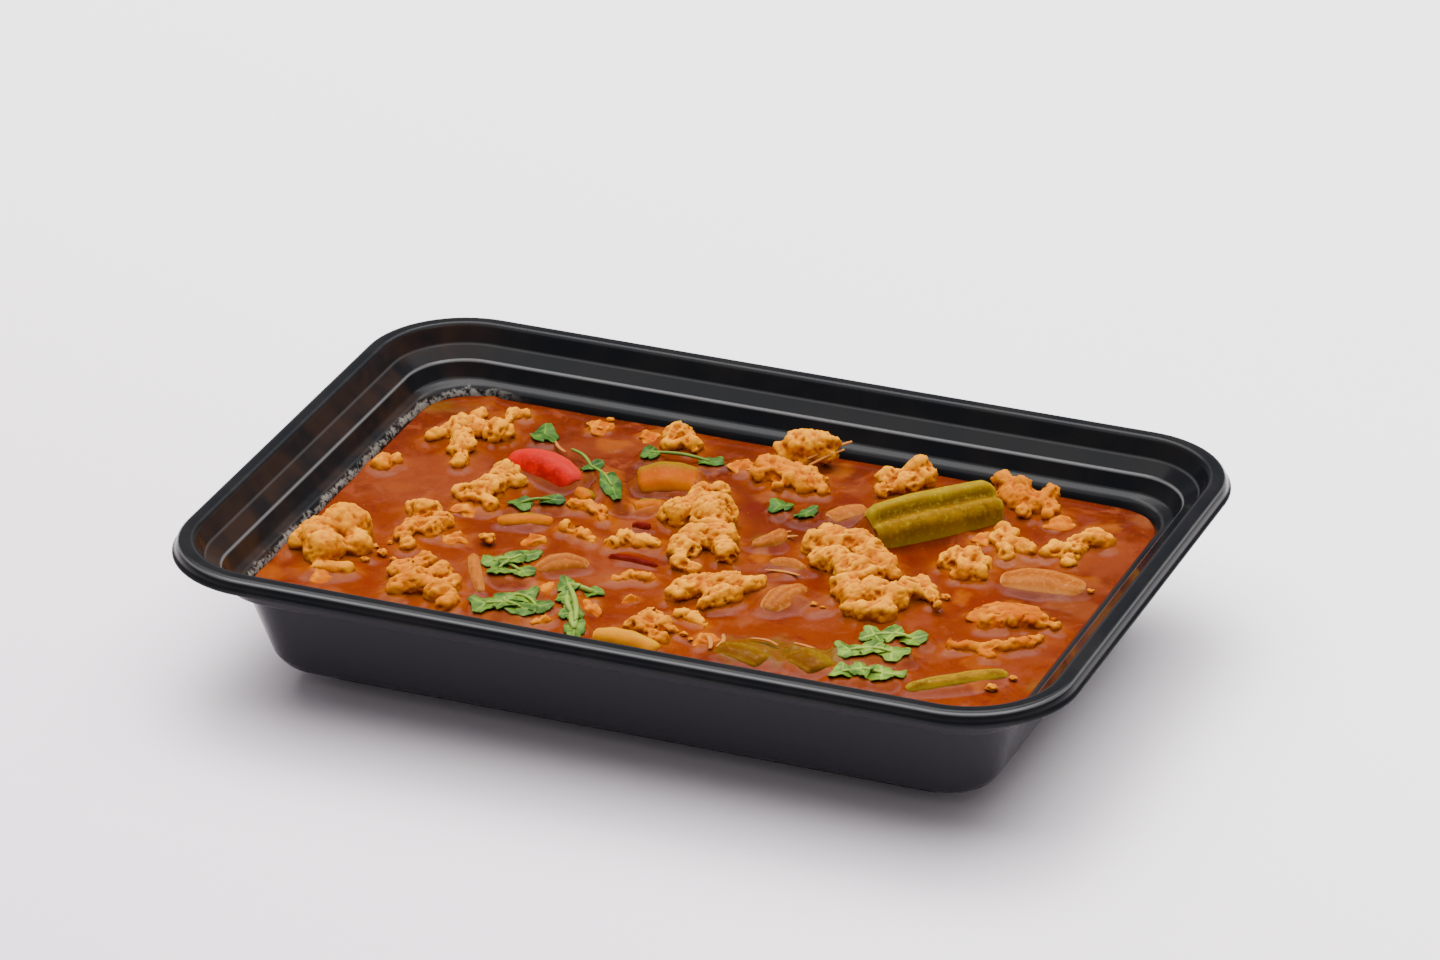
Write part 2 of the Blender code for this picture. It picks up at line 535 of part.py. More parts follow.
def add_chicken(meal, cutters):
    """Adds the chicken pieces, and to the cutters the pocket that each one needs in the sauce."""
    lobes = settled_lobes()
    for name in CHICKEN:
        own = [lobe for lobe in lobes if lobe[0] == name]
        mesh = chicken_mesh("chicken_" + name, own, cutters)
        add_object("chicken_" + name, mesh, meal, "chicken")
        pocket = add_object("pocket_" + name, pocket_mesh(mesh, "pocket_" + name), cutters)
        pocket.hide_render = True
        pocket.display_type = "WIRE"


def add_sauce(meal, cutters):
    """Adds the sauce with the pockets that the chicken sits in."""
    sauce = add_object("sauce", sauce_mesh(), meal, "sauce")
    cut = sauce.modifiers.new("pockets", "BOOLEAN")
    cut.operation = "DIFFERENCE"
    cut.operand_type = "COLLECTION"
    cut.collection = cutters


def main():
    """Builds every piece of the meal."""
    clear_scene()
    meal = bpy.data.collections.new("takeaway_chicken_meal")
    cutters = bpy.data.collections.new("cutters")
    for collection in (meal, cutters):
        bpy.context.scene.collection.children.link(collection)
    add_object("tray", tray_mesh(), meal, "tray")
    add_chicken(meal, cutters)
    for name, sizes in SLICES.items():
        add_object(name, slice_mesh(name, *sizes), meal, slice_kind(name))
    for name, (leaves, bare_end) in SPRIGS.items():
        add_object(name, sprig_mesh(name, leaves, bare_end), meal, "leaf")
    add_sauce(meal, cutters)


main()
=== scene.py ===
"""Looks of a takeaway chicken meal: black tray, red sauce, fried chicken, peppers, onion, coriander.

Lengths named in the classes are millimetres; MM turns them into metres.
The tray stands on z = 0, centred on x = y = 0, with its long side along x.
"""
from __future__ import annotations

import logging
import math
import random
from collections import defaultdict
from dataclasses import dataclass
from enum import Enum
from itertools import product
from typing import Iterable, Sequence

import bmesh
import bpy
import numpy as np
from mathutils import Matrix, Vector, noise
from mathutils.bvhtree import BVHTree
from mathutils.kdtree import KDTree


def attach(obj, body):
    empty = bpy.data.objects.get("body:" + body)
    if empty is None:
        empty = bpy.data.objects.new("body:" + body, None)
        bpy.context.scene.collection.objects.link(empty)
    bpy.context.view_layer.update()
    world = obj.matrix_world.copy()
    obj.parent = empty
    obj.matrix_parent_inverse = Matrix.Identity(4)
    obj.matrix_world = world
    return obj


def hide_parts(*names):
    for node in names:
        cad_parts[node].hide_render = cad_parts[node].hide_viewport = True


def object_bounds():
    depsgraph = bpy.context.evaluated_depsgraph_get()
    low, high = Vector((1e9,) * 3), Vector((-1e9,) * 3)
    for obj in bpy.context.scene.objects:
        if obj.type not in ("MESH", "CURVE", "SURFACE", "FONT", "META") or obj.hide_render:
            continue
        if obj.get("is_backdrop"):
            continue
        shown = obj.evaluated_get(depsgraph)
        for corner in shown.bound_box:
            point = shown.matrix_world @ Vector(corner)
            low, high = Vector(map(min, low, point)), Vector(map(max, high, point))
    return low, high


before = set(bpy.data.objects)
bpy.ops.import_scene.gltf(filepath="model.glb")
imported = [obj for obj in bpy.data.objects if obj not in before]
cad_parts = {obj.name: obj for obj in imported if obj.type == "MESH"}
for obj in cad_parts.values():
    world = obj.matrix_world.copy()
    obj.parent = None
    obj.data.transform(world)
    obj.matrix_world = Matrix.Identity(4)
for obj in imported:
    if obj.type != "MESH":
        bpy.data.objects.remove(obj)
CAD_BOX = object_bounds()

LOG = logging.getLogger("chicken_meal")
MM = 0.001
SAUCE_LEVEL = 24.5
SQUARE = 10
THREAD_CORNERS = 8
UP = Vector((0, 0, 1))

Point = tuple[float, float]
Triple = tuple[float, float, float]
Path = tuple[Triple, ...]
Colour = Triple
Build = bmesh.types.BMesh
Ring = list[bmesh.types.BMVert]
Piece = bpy.types.Object
Socket = bpy.types.NodeSocket


def over_sauce(x: float, y: float, height: float) -> Vector:
    """A point in metres from x, y and a height above the sauce in millimetres."""
    return Vector((x, y, SAUCE_LEVEL + height)) * MM


def turbulence(place: Vector, size: float, octaves: int, seed: float) -> float:
    """Uneven relief of about -1 to 1 with bumps of a size in millimetres and finer ones on them."""
    point = place / (size * MM) + Vector((seed, seed * 1.7, -seed))
    return noise.fractal(point, 0.9, 2.1, octaves, noise_basis="PERLIN_ORIGINAL")


def ridges(place: Vector, size: float, seed: float) -> float:
    """Folded relief for batter that wrinkled as it fried: 1 on a fold, less in its sharp valleys."""
    point = place / (size * MM) + Vector((-seed, seed, seed * 0.6))
    return 1 - abs(noise.noise(point)) * 2.2


def smooth_step(low: float, high: float, value: float) -> float:
    """A soft switch from 0 at low to 1 at high."""
    share = min(max((value - low) / (high - low), 0.0), 1.0)
    return share * share * (3 - 2 * share)


def in_scene(name: str, data: bpy.types.ID) -> Piece:
    """Puts data into the scene as an object at the origin.

    Args:
        name: The object's name.
        data: Its mesh, lamp or camera.

    Returns:
        The object.
    """
    thing = bpy.data.objects.new(name, data)
    bpy.context.scene.collection.objects.link(thing)
    return thing


def mesh_of(name: str, build: Build) -> bpy.types.Mesh:
    """Turns a bmesh into a mesh.

    Args:
        name: The mesh's name.
        build: The bmesh, freed here.

    Returns:
        The mesh.
    """
    mesh = bpy.data.meshes.new(name)
    build.to_mesh(mesh)
    build.free()
    return mesh


def placed(name: str, mesh: bpy.types.Mesh, finish: Finish) -> Piece:
    """Puts a mesh into the scene as a smooth piece that rides on the meal's only body.

    Args:
        name: The piece's name.
        mesh: Its mesh.
        finish: Its surface.

    Returns:
        The new object, at the origin.
    """
    piece = in_scene(name, mesh)
    mesh.materials.clear()
    mesh.materials.append(finish.material())
    mesh.polygons.foreach_set("use_smooth", [True] * len(mesh.polygons))
    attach(piece, "root")
    return piece


def finished(name: str, build: Build, finish: Finish, slot: str) -> Piece:
    """Turns a bmesh into a piece, as placed does with a mesh."""
    return placed(name, mesh_of(name, build), finish)


def remeshed(mesh: bpy.types.Mesh, voxel: float, rounds: int, name: str) -> bpy.types.Mesh:
    """Rebuilds a closed mesh from even small faces and softens it.

    Args:
        mesh: A closed mesh.
        voxel: Size of the new faces in millimetres.
        rounds: How often it is smoothed.
        name: Name of the draft.

    Returns:
        The new mesh.
    """
    draft = in_scene(name + "_draft", mesh)
    grow = draft.modifiers.new("grow", "REMESH")
    grow.mode = "VOXEL"
    grow.voxel_size = voxel * MM
    soften = draft.modifiers.new("soften", "SMOOTH")
    soften.factor = 0.5
    soften.iterations = rounds
    graph = bpy.context.evaluated_depsgraph_get()
    graph.update()
    fresh = bpy.data.meshes.new_from_object(draft.evaluated_get(graph))
    bpy.data.objects.remove(draft, do_unlink=True)
    return fresh


def node_copy(node: str) -> bpy.types.Mesh:
    """A closed copy of a CAD node's mesh, its loose triangles merged.

    Args:
        node: The node.

    Returns:
        The copy.
    """
    build = bmesh.new()
    build.from_mesh(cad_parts[node].data)
    bmesh.ops.remove_doubles(build, verts=build.verts, dist=1e-6)
    return mesh_of(node + "_copy", build)


def write_attribute(mesh: bpy.types.Mesh, name: str, values: Sequence[float]) -> None:
    """Stores one number a vertex for a finish to read."""
    layer = mesh.attributes.new(name, "FLOAT", "POINT")
    layer.data.foreach_set("value", np.asarray(values, dtype=np.float32))


def layers_of(build: Build, *names: str) -> list[bmesh.types.BMLayerItem]:
    """Adds the values that a finish reads from each vertex of a piece.

    Args:
        build: The mesh, still empty.
        names: The values' names.

    Returns:
        Their layers, in the same order.
    """
    for name in names:
        build.verts.layers.float.new(name)
    return [build.verts.layers.float[name] for name in names]


def tree_of(points: Sequence[Triple]) -> KDTree:
    """A search tree over points.

    Args:
        points: The points.

    Returns:
        The tree.
    """
    tree = KDTree(len(points))
    for index, point in enumerate(points):
        tree.insert(point, index)
    tree.balance()
    return tree


def ring_of(build: Build, places: Iterable[Vector]) -> Ring:
    """Adds a closed loop of vertices and edges, from which a wall is extruded.

    Args:
        build: The mesh.
        places: The loop's points in order.

    Returns:
        The loop's vertices in order.
    """
    ring = [build.verts.new(place) for place in places]
    for first, second in zip(ring, ring[1:] + ring[:1]):
        build.edges.new((first, second))
    return ring


def extruded(build: Build, ring: Ring, places: Sequence[Vector]) -> Ring:
    """Extrudes a loop and moves the new loop to its places.

    Args:
        build: The mesh.
        ring: The loop's vertices in order.
        places: Where the new vertices go, in the same order.

    Returns:
        The new loop's vertices in order.
    """
    edges = [build.edges.get((first, second)) for first, second in zip(ring, ring[1:] + ring[:1])]
    made = bmesh.ops.extrude_edge_only(build, edges=edges)["geom"]
    olds = set(ring)
    partner = {}
    for fresh in (part for part in made if isinstance(part, bmesh.types.BMVert)):
        for edge in fresh.link_edges:
            if edge.other_vert(fresh) in olds:
                partner[edge.other_vert(fresh)] = fresh
    for old, place in zip(ring, places):
        partner[old].co = place
    return [partner[old] for old in ring]


def swept(build: Build, loops: Iterable[Sequence[Vector]]) -> list[Ring]:
    """Extrudes a loop through a row of places and caps both ends.

    Args:
        build: The mesh.
        loops: The points of each loop.

    Returns:
        The vertices of each loop.
    """
    rings = []
    for places in loops:
        rings.append(extruded(build, rings[-1], places) if rings else ring_of(build, places))
    for end in (rings[0], rings[-1]):
        bmesh.ops.contextual_create(build, geom=end)
    return rings


def thread_loop(centre: Vector, side: Vector, up: Vector) -> list[Vector]:
    """Points round a thread's centre above the sauce, from its half width and its half height."""
    turns = [2 * math.pi * corner / THREAD_CORNERS for corner in range(THREAD_CORNERS)]
    return [over_sauce(*(centre + side * math.cos(turn) + up * math.sin(turn))) for turn in turns]


# Finishes


class Nodes:
    """A material's node tree, with a short call for each kind of node that the finishes use."""

    def __init__(self, name: str) -> None:
        """Starts a material with a Principled shader.

        Args:
            name: The material's name.
        """
        self.material = bpy.data.materials.new(name)
        self.material.use_nodes = True
        self.tree = self.material.node_tree
        self.shader = self.tree.nodes["Principled BSDF"]
        self.place = self.tree.nodes.new("ShaderNodeTexCoord").outputs["Object"]

    def link(self, source: object, target: Socket) -> None:
        """Sets an input from another node's output or from a value.

        Args:
            source: The output or the value.
            target: The input.
        """
        if isinstance(source, Socket):
            self.tree.links.new(source, target)
        else:
            target.default_value = source

    def add(self, kind: str, output: str | int, inputs: dict[str | int, object], **settings: str) -> Socket:
        """Adds a node.

        Args:
            kind: The end of its type's name.
            output: Which output is wanted.
            inputs: What its inputs get.
            settings: What its settings get.

        Returns:
            The output.
        """
        node = self.tree.nodes.new("ShaderNode" + kind)
        for name, value in settings.items():
            setattr(node, name, value)
        for name, value in inputs.items():
            self.link(value, node.inputs[name])
        return node.outputs[output]

    def noise(self, size: float, detail: float = 3.0, rough: float = 0.55, warp: float = 0.0) -> Socket:
        """Cloudy pattern of a given size in millimetres, about 0.25 to 0.75."""
        place = self.add("Mapping", "Vector", {"Vector": self.place, "Scale": (1 / (size * MM),) * 3})
        return self.add("TexNoise", "Fac", {"Vector": place, "Scale": 1.0, "Detail": detail,
                                            "Roughness": rough, "Distortion": warp})

    def attribute(self, name: str) -> Socket:
        """One of the piece's own values a vertex."""
        return self.add("Attribute", "Fac", {}, attribute_name=name)

    def axis(self, which: str) -> Socket:
        """One of the object coordinates in metres."""
        return self.add("SeparateXYZ", which, {"Vector": self.place})

    def remap(self, value: object, low: float, high: float, to_low: float = 0.0,
              to_high: float = 1.0) -> Socket:
        """Maps a value softly from one range onto another, clamped."""
        ends = {"From Min": low, "From Max": high, "To Min": to_low, "To Max": to_high}
        return self.add("MapRange", "Result", {"Value": value, **ends}, interpolation_type="SMOOTHSTEP")

    def between(self, value: object, ends: Point) -> Socket:
        """A soft switch from 0 to 1 between two places in millimetres."""
        return self.remap(value, ends[0] * MM, ends[1] * MM)

    def maths(self, operation: str, first: object, second: object) -> Socket:
        """Arithmetic on two values."""
        return self.add("Math", "Value", {0: first, 1: second}, operation=operation)

    def times(self, first: object, second: object) -> Socket:
        """One value times another."""
        return self.maths("MULTIPLY", first, second)

    def plus(self, first: object, second: object) -> Socket:
        """One value plus another."""
        return self.maths("ADD", first, second)

    def mix(self, share: object, first: object, second: object) -> Socket:
        """Blend of two colours."""
        first, second = (part if isinstance(part, Socket) else (*part, 1.0) for part in (first, second))
        return self.add("Mix", 2, {6: first, 7: second, "Factor": share}, data_type="RGBA")

    def bump(self, height: object, depth: float, strength: float) -> Socket:
        """Fine relief of a given depth in millimetres."""
        return self.add("Bump", "Normal", {"Strength": strength, "Distance": depth * MM, "Height": height})

    def set(self, **inputs: object) -> None:
        """Sets the shader's inputs; spaces in their names are underscores here."""
        for name, value in inputs.items():
            self.link(value, self.shader.inputs[name.replace("_", " ")])

    def soak(self, weight: float, radius: Triple) -> None:
        """Lets light into the surface, to a depth in millimetres for each colour."""
        depth = tuple(part * MM for part in radius)
        self.set(Subsurface_Weight=weight, Subsurface_Radius=depth, Subsurface_Scale=1.0)


@dataclass(frozen=True)
class Finish:
    """A surface; each kind paints itself in its own way."""

    name: str

    def paint(self, nodes: Nodes) -> None:
        """Fills the node tree."""
        raise NotImplementedError

    def material(self) -> bpy.types.Material:
        """The finish as a material, made once.

        Returns:
            The material.
        """
        found = bpy.data.materials.get(self.name)
        if found:
            return found
        nodes = Nodes(self.name)
        self.paint(nodes)
        return nodes.material


@dataclass(frozen=True)
class BlackPlastic(Finish):
    """Moulded black plastic, glossier inside, with a painted highlight band above the sauce on the left,
    painted reflections of the sauce on the left inner walls and of the floor on the outside, and painted
    highlight lines on its edges.

    Its bands run between two heights over the table, or two places along the tray, in millimetres.
    """

    colour: Colour = (0.0046, 0.0052, 0.0064)
    worn: Colour = (0.0076, 0.0070, 0.0076)
    # lighter outer wall: painted reflection of the bright floor
    outer: Colour = (0.0270, 0.0262, 0.0300)
    # colour of the painted highlight band on the inner wall above the sauce, at the left
    highlight_band: Colour = (0.140, 0.130, 0.115)
    # reddish painted reflection of the sauce on the left inner walls
    sauce_reflection: Colour = (0.0200, 0.0110, 0.0080)
    # colour of the painted highlight lines on the tray's edges
    bright: Colour = (0.110, 0.110, 0.112)
    gloss: float = 0.15
    matt: float = 0.24
    inner_gloss: float = 0.05
    shine: float = 0.05
    highlight_band_foot: Point = (24.4, 24.9)
    highlight_band_top: Point = (26.6, 25.9)
    highlight_band_left: Point = (-70, -88)
    highlight_band_wave: float = 0.5
    sauce_reflection_left: Point = (-80, -98)
    outer_top: Point = (35.2, 34.2)

    def paint(self, nodes: Nodes) -> None:
        """Black with soft changes of gloss, painted highlights and painted reflections.

        Args:
            nodes: The tree to fill.
        """
        cloud, inside, height = nodes.noise(14, 4, 0.6), nodes.attribute("inside"), nodes.axis("Z")
        wave = self.highlight_band_wave * MM
        wavy = nodes.plus(height, nodes.remap(nodes.noise(4, 3, 0.6), 0.3, 0.7, -wave, wave))
        # painted highlight: a pale, broken band on the inner wall just above the sauce, at the left
        highlight_band = nodes.times(nodes.between(wavy, self.highlight_band_foot), nodes.between(wavy, self.highlight_band_top))
        patchy = nodes.times(nodes.remap(nodes.noise(1.8, 4, 0.7), 0.40, 0.56),
                             nodes.between(nodes.axis("X"), self.highlight_band_left))
        highlight_band = nodes.times(nodes.times(highlight_band, patchy), inside)
        # painted reflection of the sauce: a reddish tint on the inner walls at the left
        left = nodes.times(nodes.between(nodes.axis("X"), self.sauce_reflection_left), inside)
        # painted reflection of the floor: the outer wall below the rim is lighter
        outside = nodes.times(nodes.between(height, self.outer_top), nodes.maths("SUBTRACT", 1.0, inside))
        base = nodes.mix(nodes.remap(cloud, 0.35, 0.7), self.colour, self.worn)
        base = nodes.mix(nodes.times(left, nodes.remap(nodes.noise(22, 3, 0.6), 0.35, 0.6)), base, self.sauce_reflection)
        base = nodes.mix(outside, base, self.outer)
        nodes.set(
            # the edge value paints highlight lines onto the rounded edges
            Base_Color=nodes.mix(nodes.attribute("edge"), nodes.mix(highlight_band, base, self.highlight_band), self.bright),
            Roughness=nodes.maths("SUBTRACT", nodes.remap(cloud, 0.3, 0.7, self.gloss, self.matt),
                                  nodes.times(inside, self.inner_gloss)),
            Specular_IOR_Level=self.shine,
            Normal=nodes.bump(nodes.noise(0.35, 2, 0.6), 0.02, 0.4))


@dataclass(frozen=True)
class SauceFinish(Finish):
    """Thick glossy sauce: darker and redder towards the back, brighter orange towards the front."""

    deep: Colour = (0.066, 0.0085, 0.0016)
    body: Colour = (0.104, 0.0128, 0.0016)
    bright: Colour = (0.132, 0.0180, 0.0008)
    # painted shade on the sauce round and under the chicken pieces
    halo: Colour = (0.110, 0.0080, 0.0004)
    gold: Colour = (0.260, 0.0640, 0.0012)
    # pale: onion under the sauce, and in some patches a painted pinkish reflection of the sky
    pale: Colour = (0.210, 0.0600, 0.0150)
    # olive: green pepper under the sauce, and painted shade under the onion crescent
    olive: Colour = (0.095, 0.0540, 0.0024)
    # dark red: uneven colour, red skin under the sauce, and painted shade in dips and under pieces
    red: Colour = (0.082, 0.0055, 0.0018)
    # pale pinkish painted reflection of the sky on the sauce
    haze: Colour = (0.150, 0.0290, 0.0080)
    front_to_back: Point = (-55, 55)
    # the first clouds are a painted reflection of the sky over the sauce; the red ones are uneven colour
    clouds: tuple[tuple[str, float, float, float], ...] = (("haze", 11, 0.52, 0.75), ("red", 8, 0.55, 0.65))
    # how strongly each patch colour shows; two of them are painted shade and a painted sky reflection
    shares: tuple[tuple[str, float], ...] = (
        ("halo", 0.85), ("gold", 0.9), ("pale", 0.85), ("olive", 0.85), ("red", 0.85), ("haze", 0.9))
    gloss: float = 0.09
    matt: float = 0.18

    def paint(self, nodes: Nodes) -> None:
        """Mixes the colours by place, by what lies sunken, by patches of painted shade and painted sky
        reflection, and by closeness to the chicken, which brings gold and painted shade.

        Args:
            nodes: The tree to fill.
        """
        cloud, small = nodes.noise(24, 5, 0.6, 0.8), nodes.noise(5, 5, 0.65, 1.2)
        across = nodes.between(nodes.axis("Y"), self.front_to_back)
        back = nodes.plus(nodes.times(across, 0.7), nodes.times(cloud, 0.7))
        base = nodes.mix(nodes.remap(back, 0.35, 1.05), self.bright, self.deep)
        base = nodes.mix(nodes.remap(nodes.plus(small, cloud), 0.8, 1.15, 0.75, 0.0), base, self.body)
        for name, size, start, share in self.clouds:
            patch = nodes.remap(nodes.noise(size, 4, 0.6, 1.5), start, 0.68, 0.0, share)
            base = nodes.mix(patch, base, getattr(self, name))
        for name, share in self.shares:
            uneven = nodes.remap(small, 0.3, 0.7, share * 0.65, share)
            base = nodes.mix(nodes.times(nodes.attribute(name), uneven), base, getattr(self, name))
        specks = nodes.remap(nodes.noise(0.9, 2, 0.5), 0.67, 0.75, 0.0, 0.4)
        nodes.soak(0.2, (1.6, 0.5, 0.2))
        nodes.set(
            Base_Color=nodes.mix(specks, base, self.gold),
            Roughness=nodes.remap(small, 0.3, 0.7, self.gloss, self.matt), IOR=1.40, Specular_IOR_Level=0.04,
            Normal=nodes.bump(nodes.noise(2.4, 3, 0.5), 0.06, 0.4))


@dataclass(frozen=True)
class ChickenFinish(Finish):
    """Golden fried batter that soaked up sauce low down; its valleys are darker, partly sauce and partly
    painted shade, and its crests carry a paler painted highlight.
    """

    gold: Colour = (0.430, 0.125, 0.0008)
    # cream: painted highlight on the crests
    cream: Colour = (0.620, 0.245, 0.0040)
    # brown: random spots, and in the valleys part sauce and part painted shade
    brown: Colour = (0.170, 0.022, 0.0003)
    stain: Colour = (0.330, 0.064, 0.0004)
    gloss: float = 0.28
    matt: float = 0.50

    def paint(self, nodes: Nodes) -> None:
        """Cream on the crests as a painted highlight, brown in the valleys as part sauce and part painted
        shade, orange near the sauce.

        Args:
            nodes: The tree to fill.
        """
        cloud, fine = nodes.noise(8, 4, 0.6, 0.5), nodes.noise(2.0, 4, 0.65)
        # painted highlight: cream on the crests
        crest = nodes.times(nodes.attribute("crest"), nodes.remap(cloud, 0.3, 0.6, 0.35, 1.0))
        base = nodes.mix(crest, self.gold, self.cream)
        base = nodes.mix(nodes.times(nodes.remap(fine, 0.52, 0.72), 0.3), base, self.brown)
        # valleys: brown, part sauce and part painted shade
        base = nodes.mix(nodes.times(nodes.attribute("fold"), 0.85), base, self.brown)
        nodes.soak(0.12, (1.2, 0.6, 0.25))
        nodes.set(
            Base_Color=nodes.mix(nodes.attribute("stain"), base, self.stain),
            Roughness=nodes.remap(fine, 0.3, 0.7, self.gloss, self.matt), IOR=1.42, Specular_IOR_Level=0.015,
            Normal=nodes.bump(nodes.noise(0.9, 4, 0.65), 0.22, 0.8))


@dataclass(frozen=True)
class SliceFinish(Finish):
    """Cooked, wet vegetable: a skin colour, a paler cut edge, long streaks and a colour of its far side."""

    skin: Colour
    pale: Colour
    dark: Colour
    far: Colour
    rough: float
    glow: float = 0.2

    def paint(self, nodes: Nodes) -> None:
        """Streaks along the slice, painted shade in the grooves and a paler rim.

        Args:
            nodes: The tree to fill.
        """
        cloud, streak = nodes.noise(5, 3, 0.55, 0.4), nodes.noise(1.1, 3, 0.6)
        base = nodes.mix(nodes.remap(cloud, 0.35, 0.7, 0.0, 0.8), self.skin, self.dark)
        base = nodes.mix(nodes.remap(nodes.plus(nodes.attribute("far"), cloud), 0.95, 1.25), base, self.far)
        # painted shade in the grooves between the ribs
        base = nodes.mix(nodes.times(nodes.attribute("groove"), 0.9), base, self.dark)
        base = nodes.mix(nodes.times(nodes.remap(streak, 0.5, 0.75), 0.35), base, self.pale)
        nodes.soak(self.glow, (1.6, 0.9, 0.5))
        nodes.set(
            Base_Color=nodes.mix(nodes.times(nodes.attribute("rim"), 0.45), base, self.pale),
            Roughness=nodes.remap(cloud, 0.3, 0.7, self.rough * 0.8, self.rough * 1.5), IOR=1.42,
            Specular_IOR_Level=0.015, Normal=nodes.bump(nodes.noise(1.4, 3, 0.5), 0.10, 0.5))


@dataclass(frozen=True)
class LeafFinish(Finish):
    """Fresh coriander: darker blade, paler veins."""

    blade: Colour = (0.012, 0.042, 0.005)
    light: Colour = (0.052, 0.120, 0.012)
    vein: Colour = (0.170, 0.235, 0.034)

    def paint(self, nodes: Nodes) -> None:
        """Green that varies over the leaf, with veins from the leaf's own values.

        Args:
            nodes: The tree to fill.
        """
        base = nodes.mix(nodes.remap(nodes.noise(3.5, 3, 0.6), 0.35, 0.68), self.blade, self.light)
        nodes.soak(0.15, (0.5, 0.8, 0.2))
        nodes.set(
            Base_Color=nodes.mix(nodes.times(nodes.attribute("vein"), 0.7), base, self.vein), Roughness=0.42,
            Specular_IOR_Level=0.06, Normal=nodes.bump(nodes.attribute("vein"), 0.15, 0.6))


@dataclass(frozen=True)
class FloorFinish(Finish):
    """Pale paper under the meal."""

    # near: painted shade on the near side of the floor
    near: Colour = (0.700, 0.610, 0.680)
    far: Colour = (0.960, 0.915, 0.940)
    fade: Point = (-400, 250)

    def paint(self, nodes: Nodes) -> None:
        """A plain matt surface, with painted shade that makes it darker towards the near side."""
        run = nodes.plus(nodes.axis("Y"), nodes.times(nodes.axis("X"), 0.5))
        nodes.set(Base_Color=nodes.mix(nodes.between(run, self.fade), self.near, self.far), Roughness=0.75)


PLASTIC = BlackPlastic("tray_plastic")
EDGES = BlackPlastic("tray_plastic_edge", shine=0.35)
SAUCE = SauceFinish("sauce_surface")
BATTER = ChickenFinish("fried_batter")


class Vegetable(Enum):
    """The cooked vegetables, each with its finish and the record's slot."""

    RED = (SliceFinish("red_pepper_skin", (0.390, 0.0030, 0.0010), (0.420, 0.0300, 0.0180),
                       (0.160, 0.0012, 0.0006), (0.330, 0.0120, 0.0080), 0.14), "red_pepper")
    ORANGE = (SliceFinish("orange_pepper_skin", (0.330, 0.0850, 0.0003), (0.380, 0.1300, 0.0010),
                          (0.270, 0.0440, 0.0003), (0.150, 0.0850, 0.0006), 0.18), "orange_pepper")
    YELLOW = (SliceFinish("yellow_pepper_skin", (0.430, 0.1600, 0.0002), (0.480, 0.2000, 0.0006),
                          (0.370, 0.1050, 0.0002), (0.380, 0.1600, 0.0006), 0.18), "yellow_pepper")
    GREEN = (SliceFinish("green_pepper_skin", (0.205, 0.1000, 0.0016), (0.360, 0.2700, 0.0180),
                         (0.080, 0.0340, 0.0006), (0.200, 0.1250, 0.0012), 0.20), "green_pepper")
    OLIVE = (SliceFinish("olive_pepper_skin", (0.100, 0.0380, 0.0008), (0.250, 0.1250, 0.0150),
                         (0.085, 0.0200, 0.0005), (0.120, 0.0600, 0.0010), 0.20), "green_pepper")
    CHILLI = (SliceFinish("chilli_skin", (0.085, 0.0036, 0.0018), (0.150, 0.0120, 0.0040),
                          (0.060, 0.0020, 0.0010), (0.110, 0.0070, 0.0025), 0.18), "chilli")
    ONION = (SliceFinish("onion_flesh", (0.270, 0.0780, 0.0090), (0.480, 0.2050, 0.0500),
                         (0.190, 0.0420, 0.0030), (0.250, 0.0700, 0.0080), 0.20, 0.35), "onion")

    @property
    def finish(self) -> SliceFinish:
        """The surface."""
        return self.value[0]

    @property
    def slot(self) -> str:
        """The record's material slot."""
        return self.value[1]


# Tray


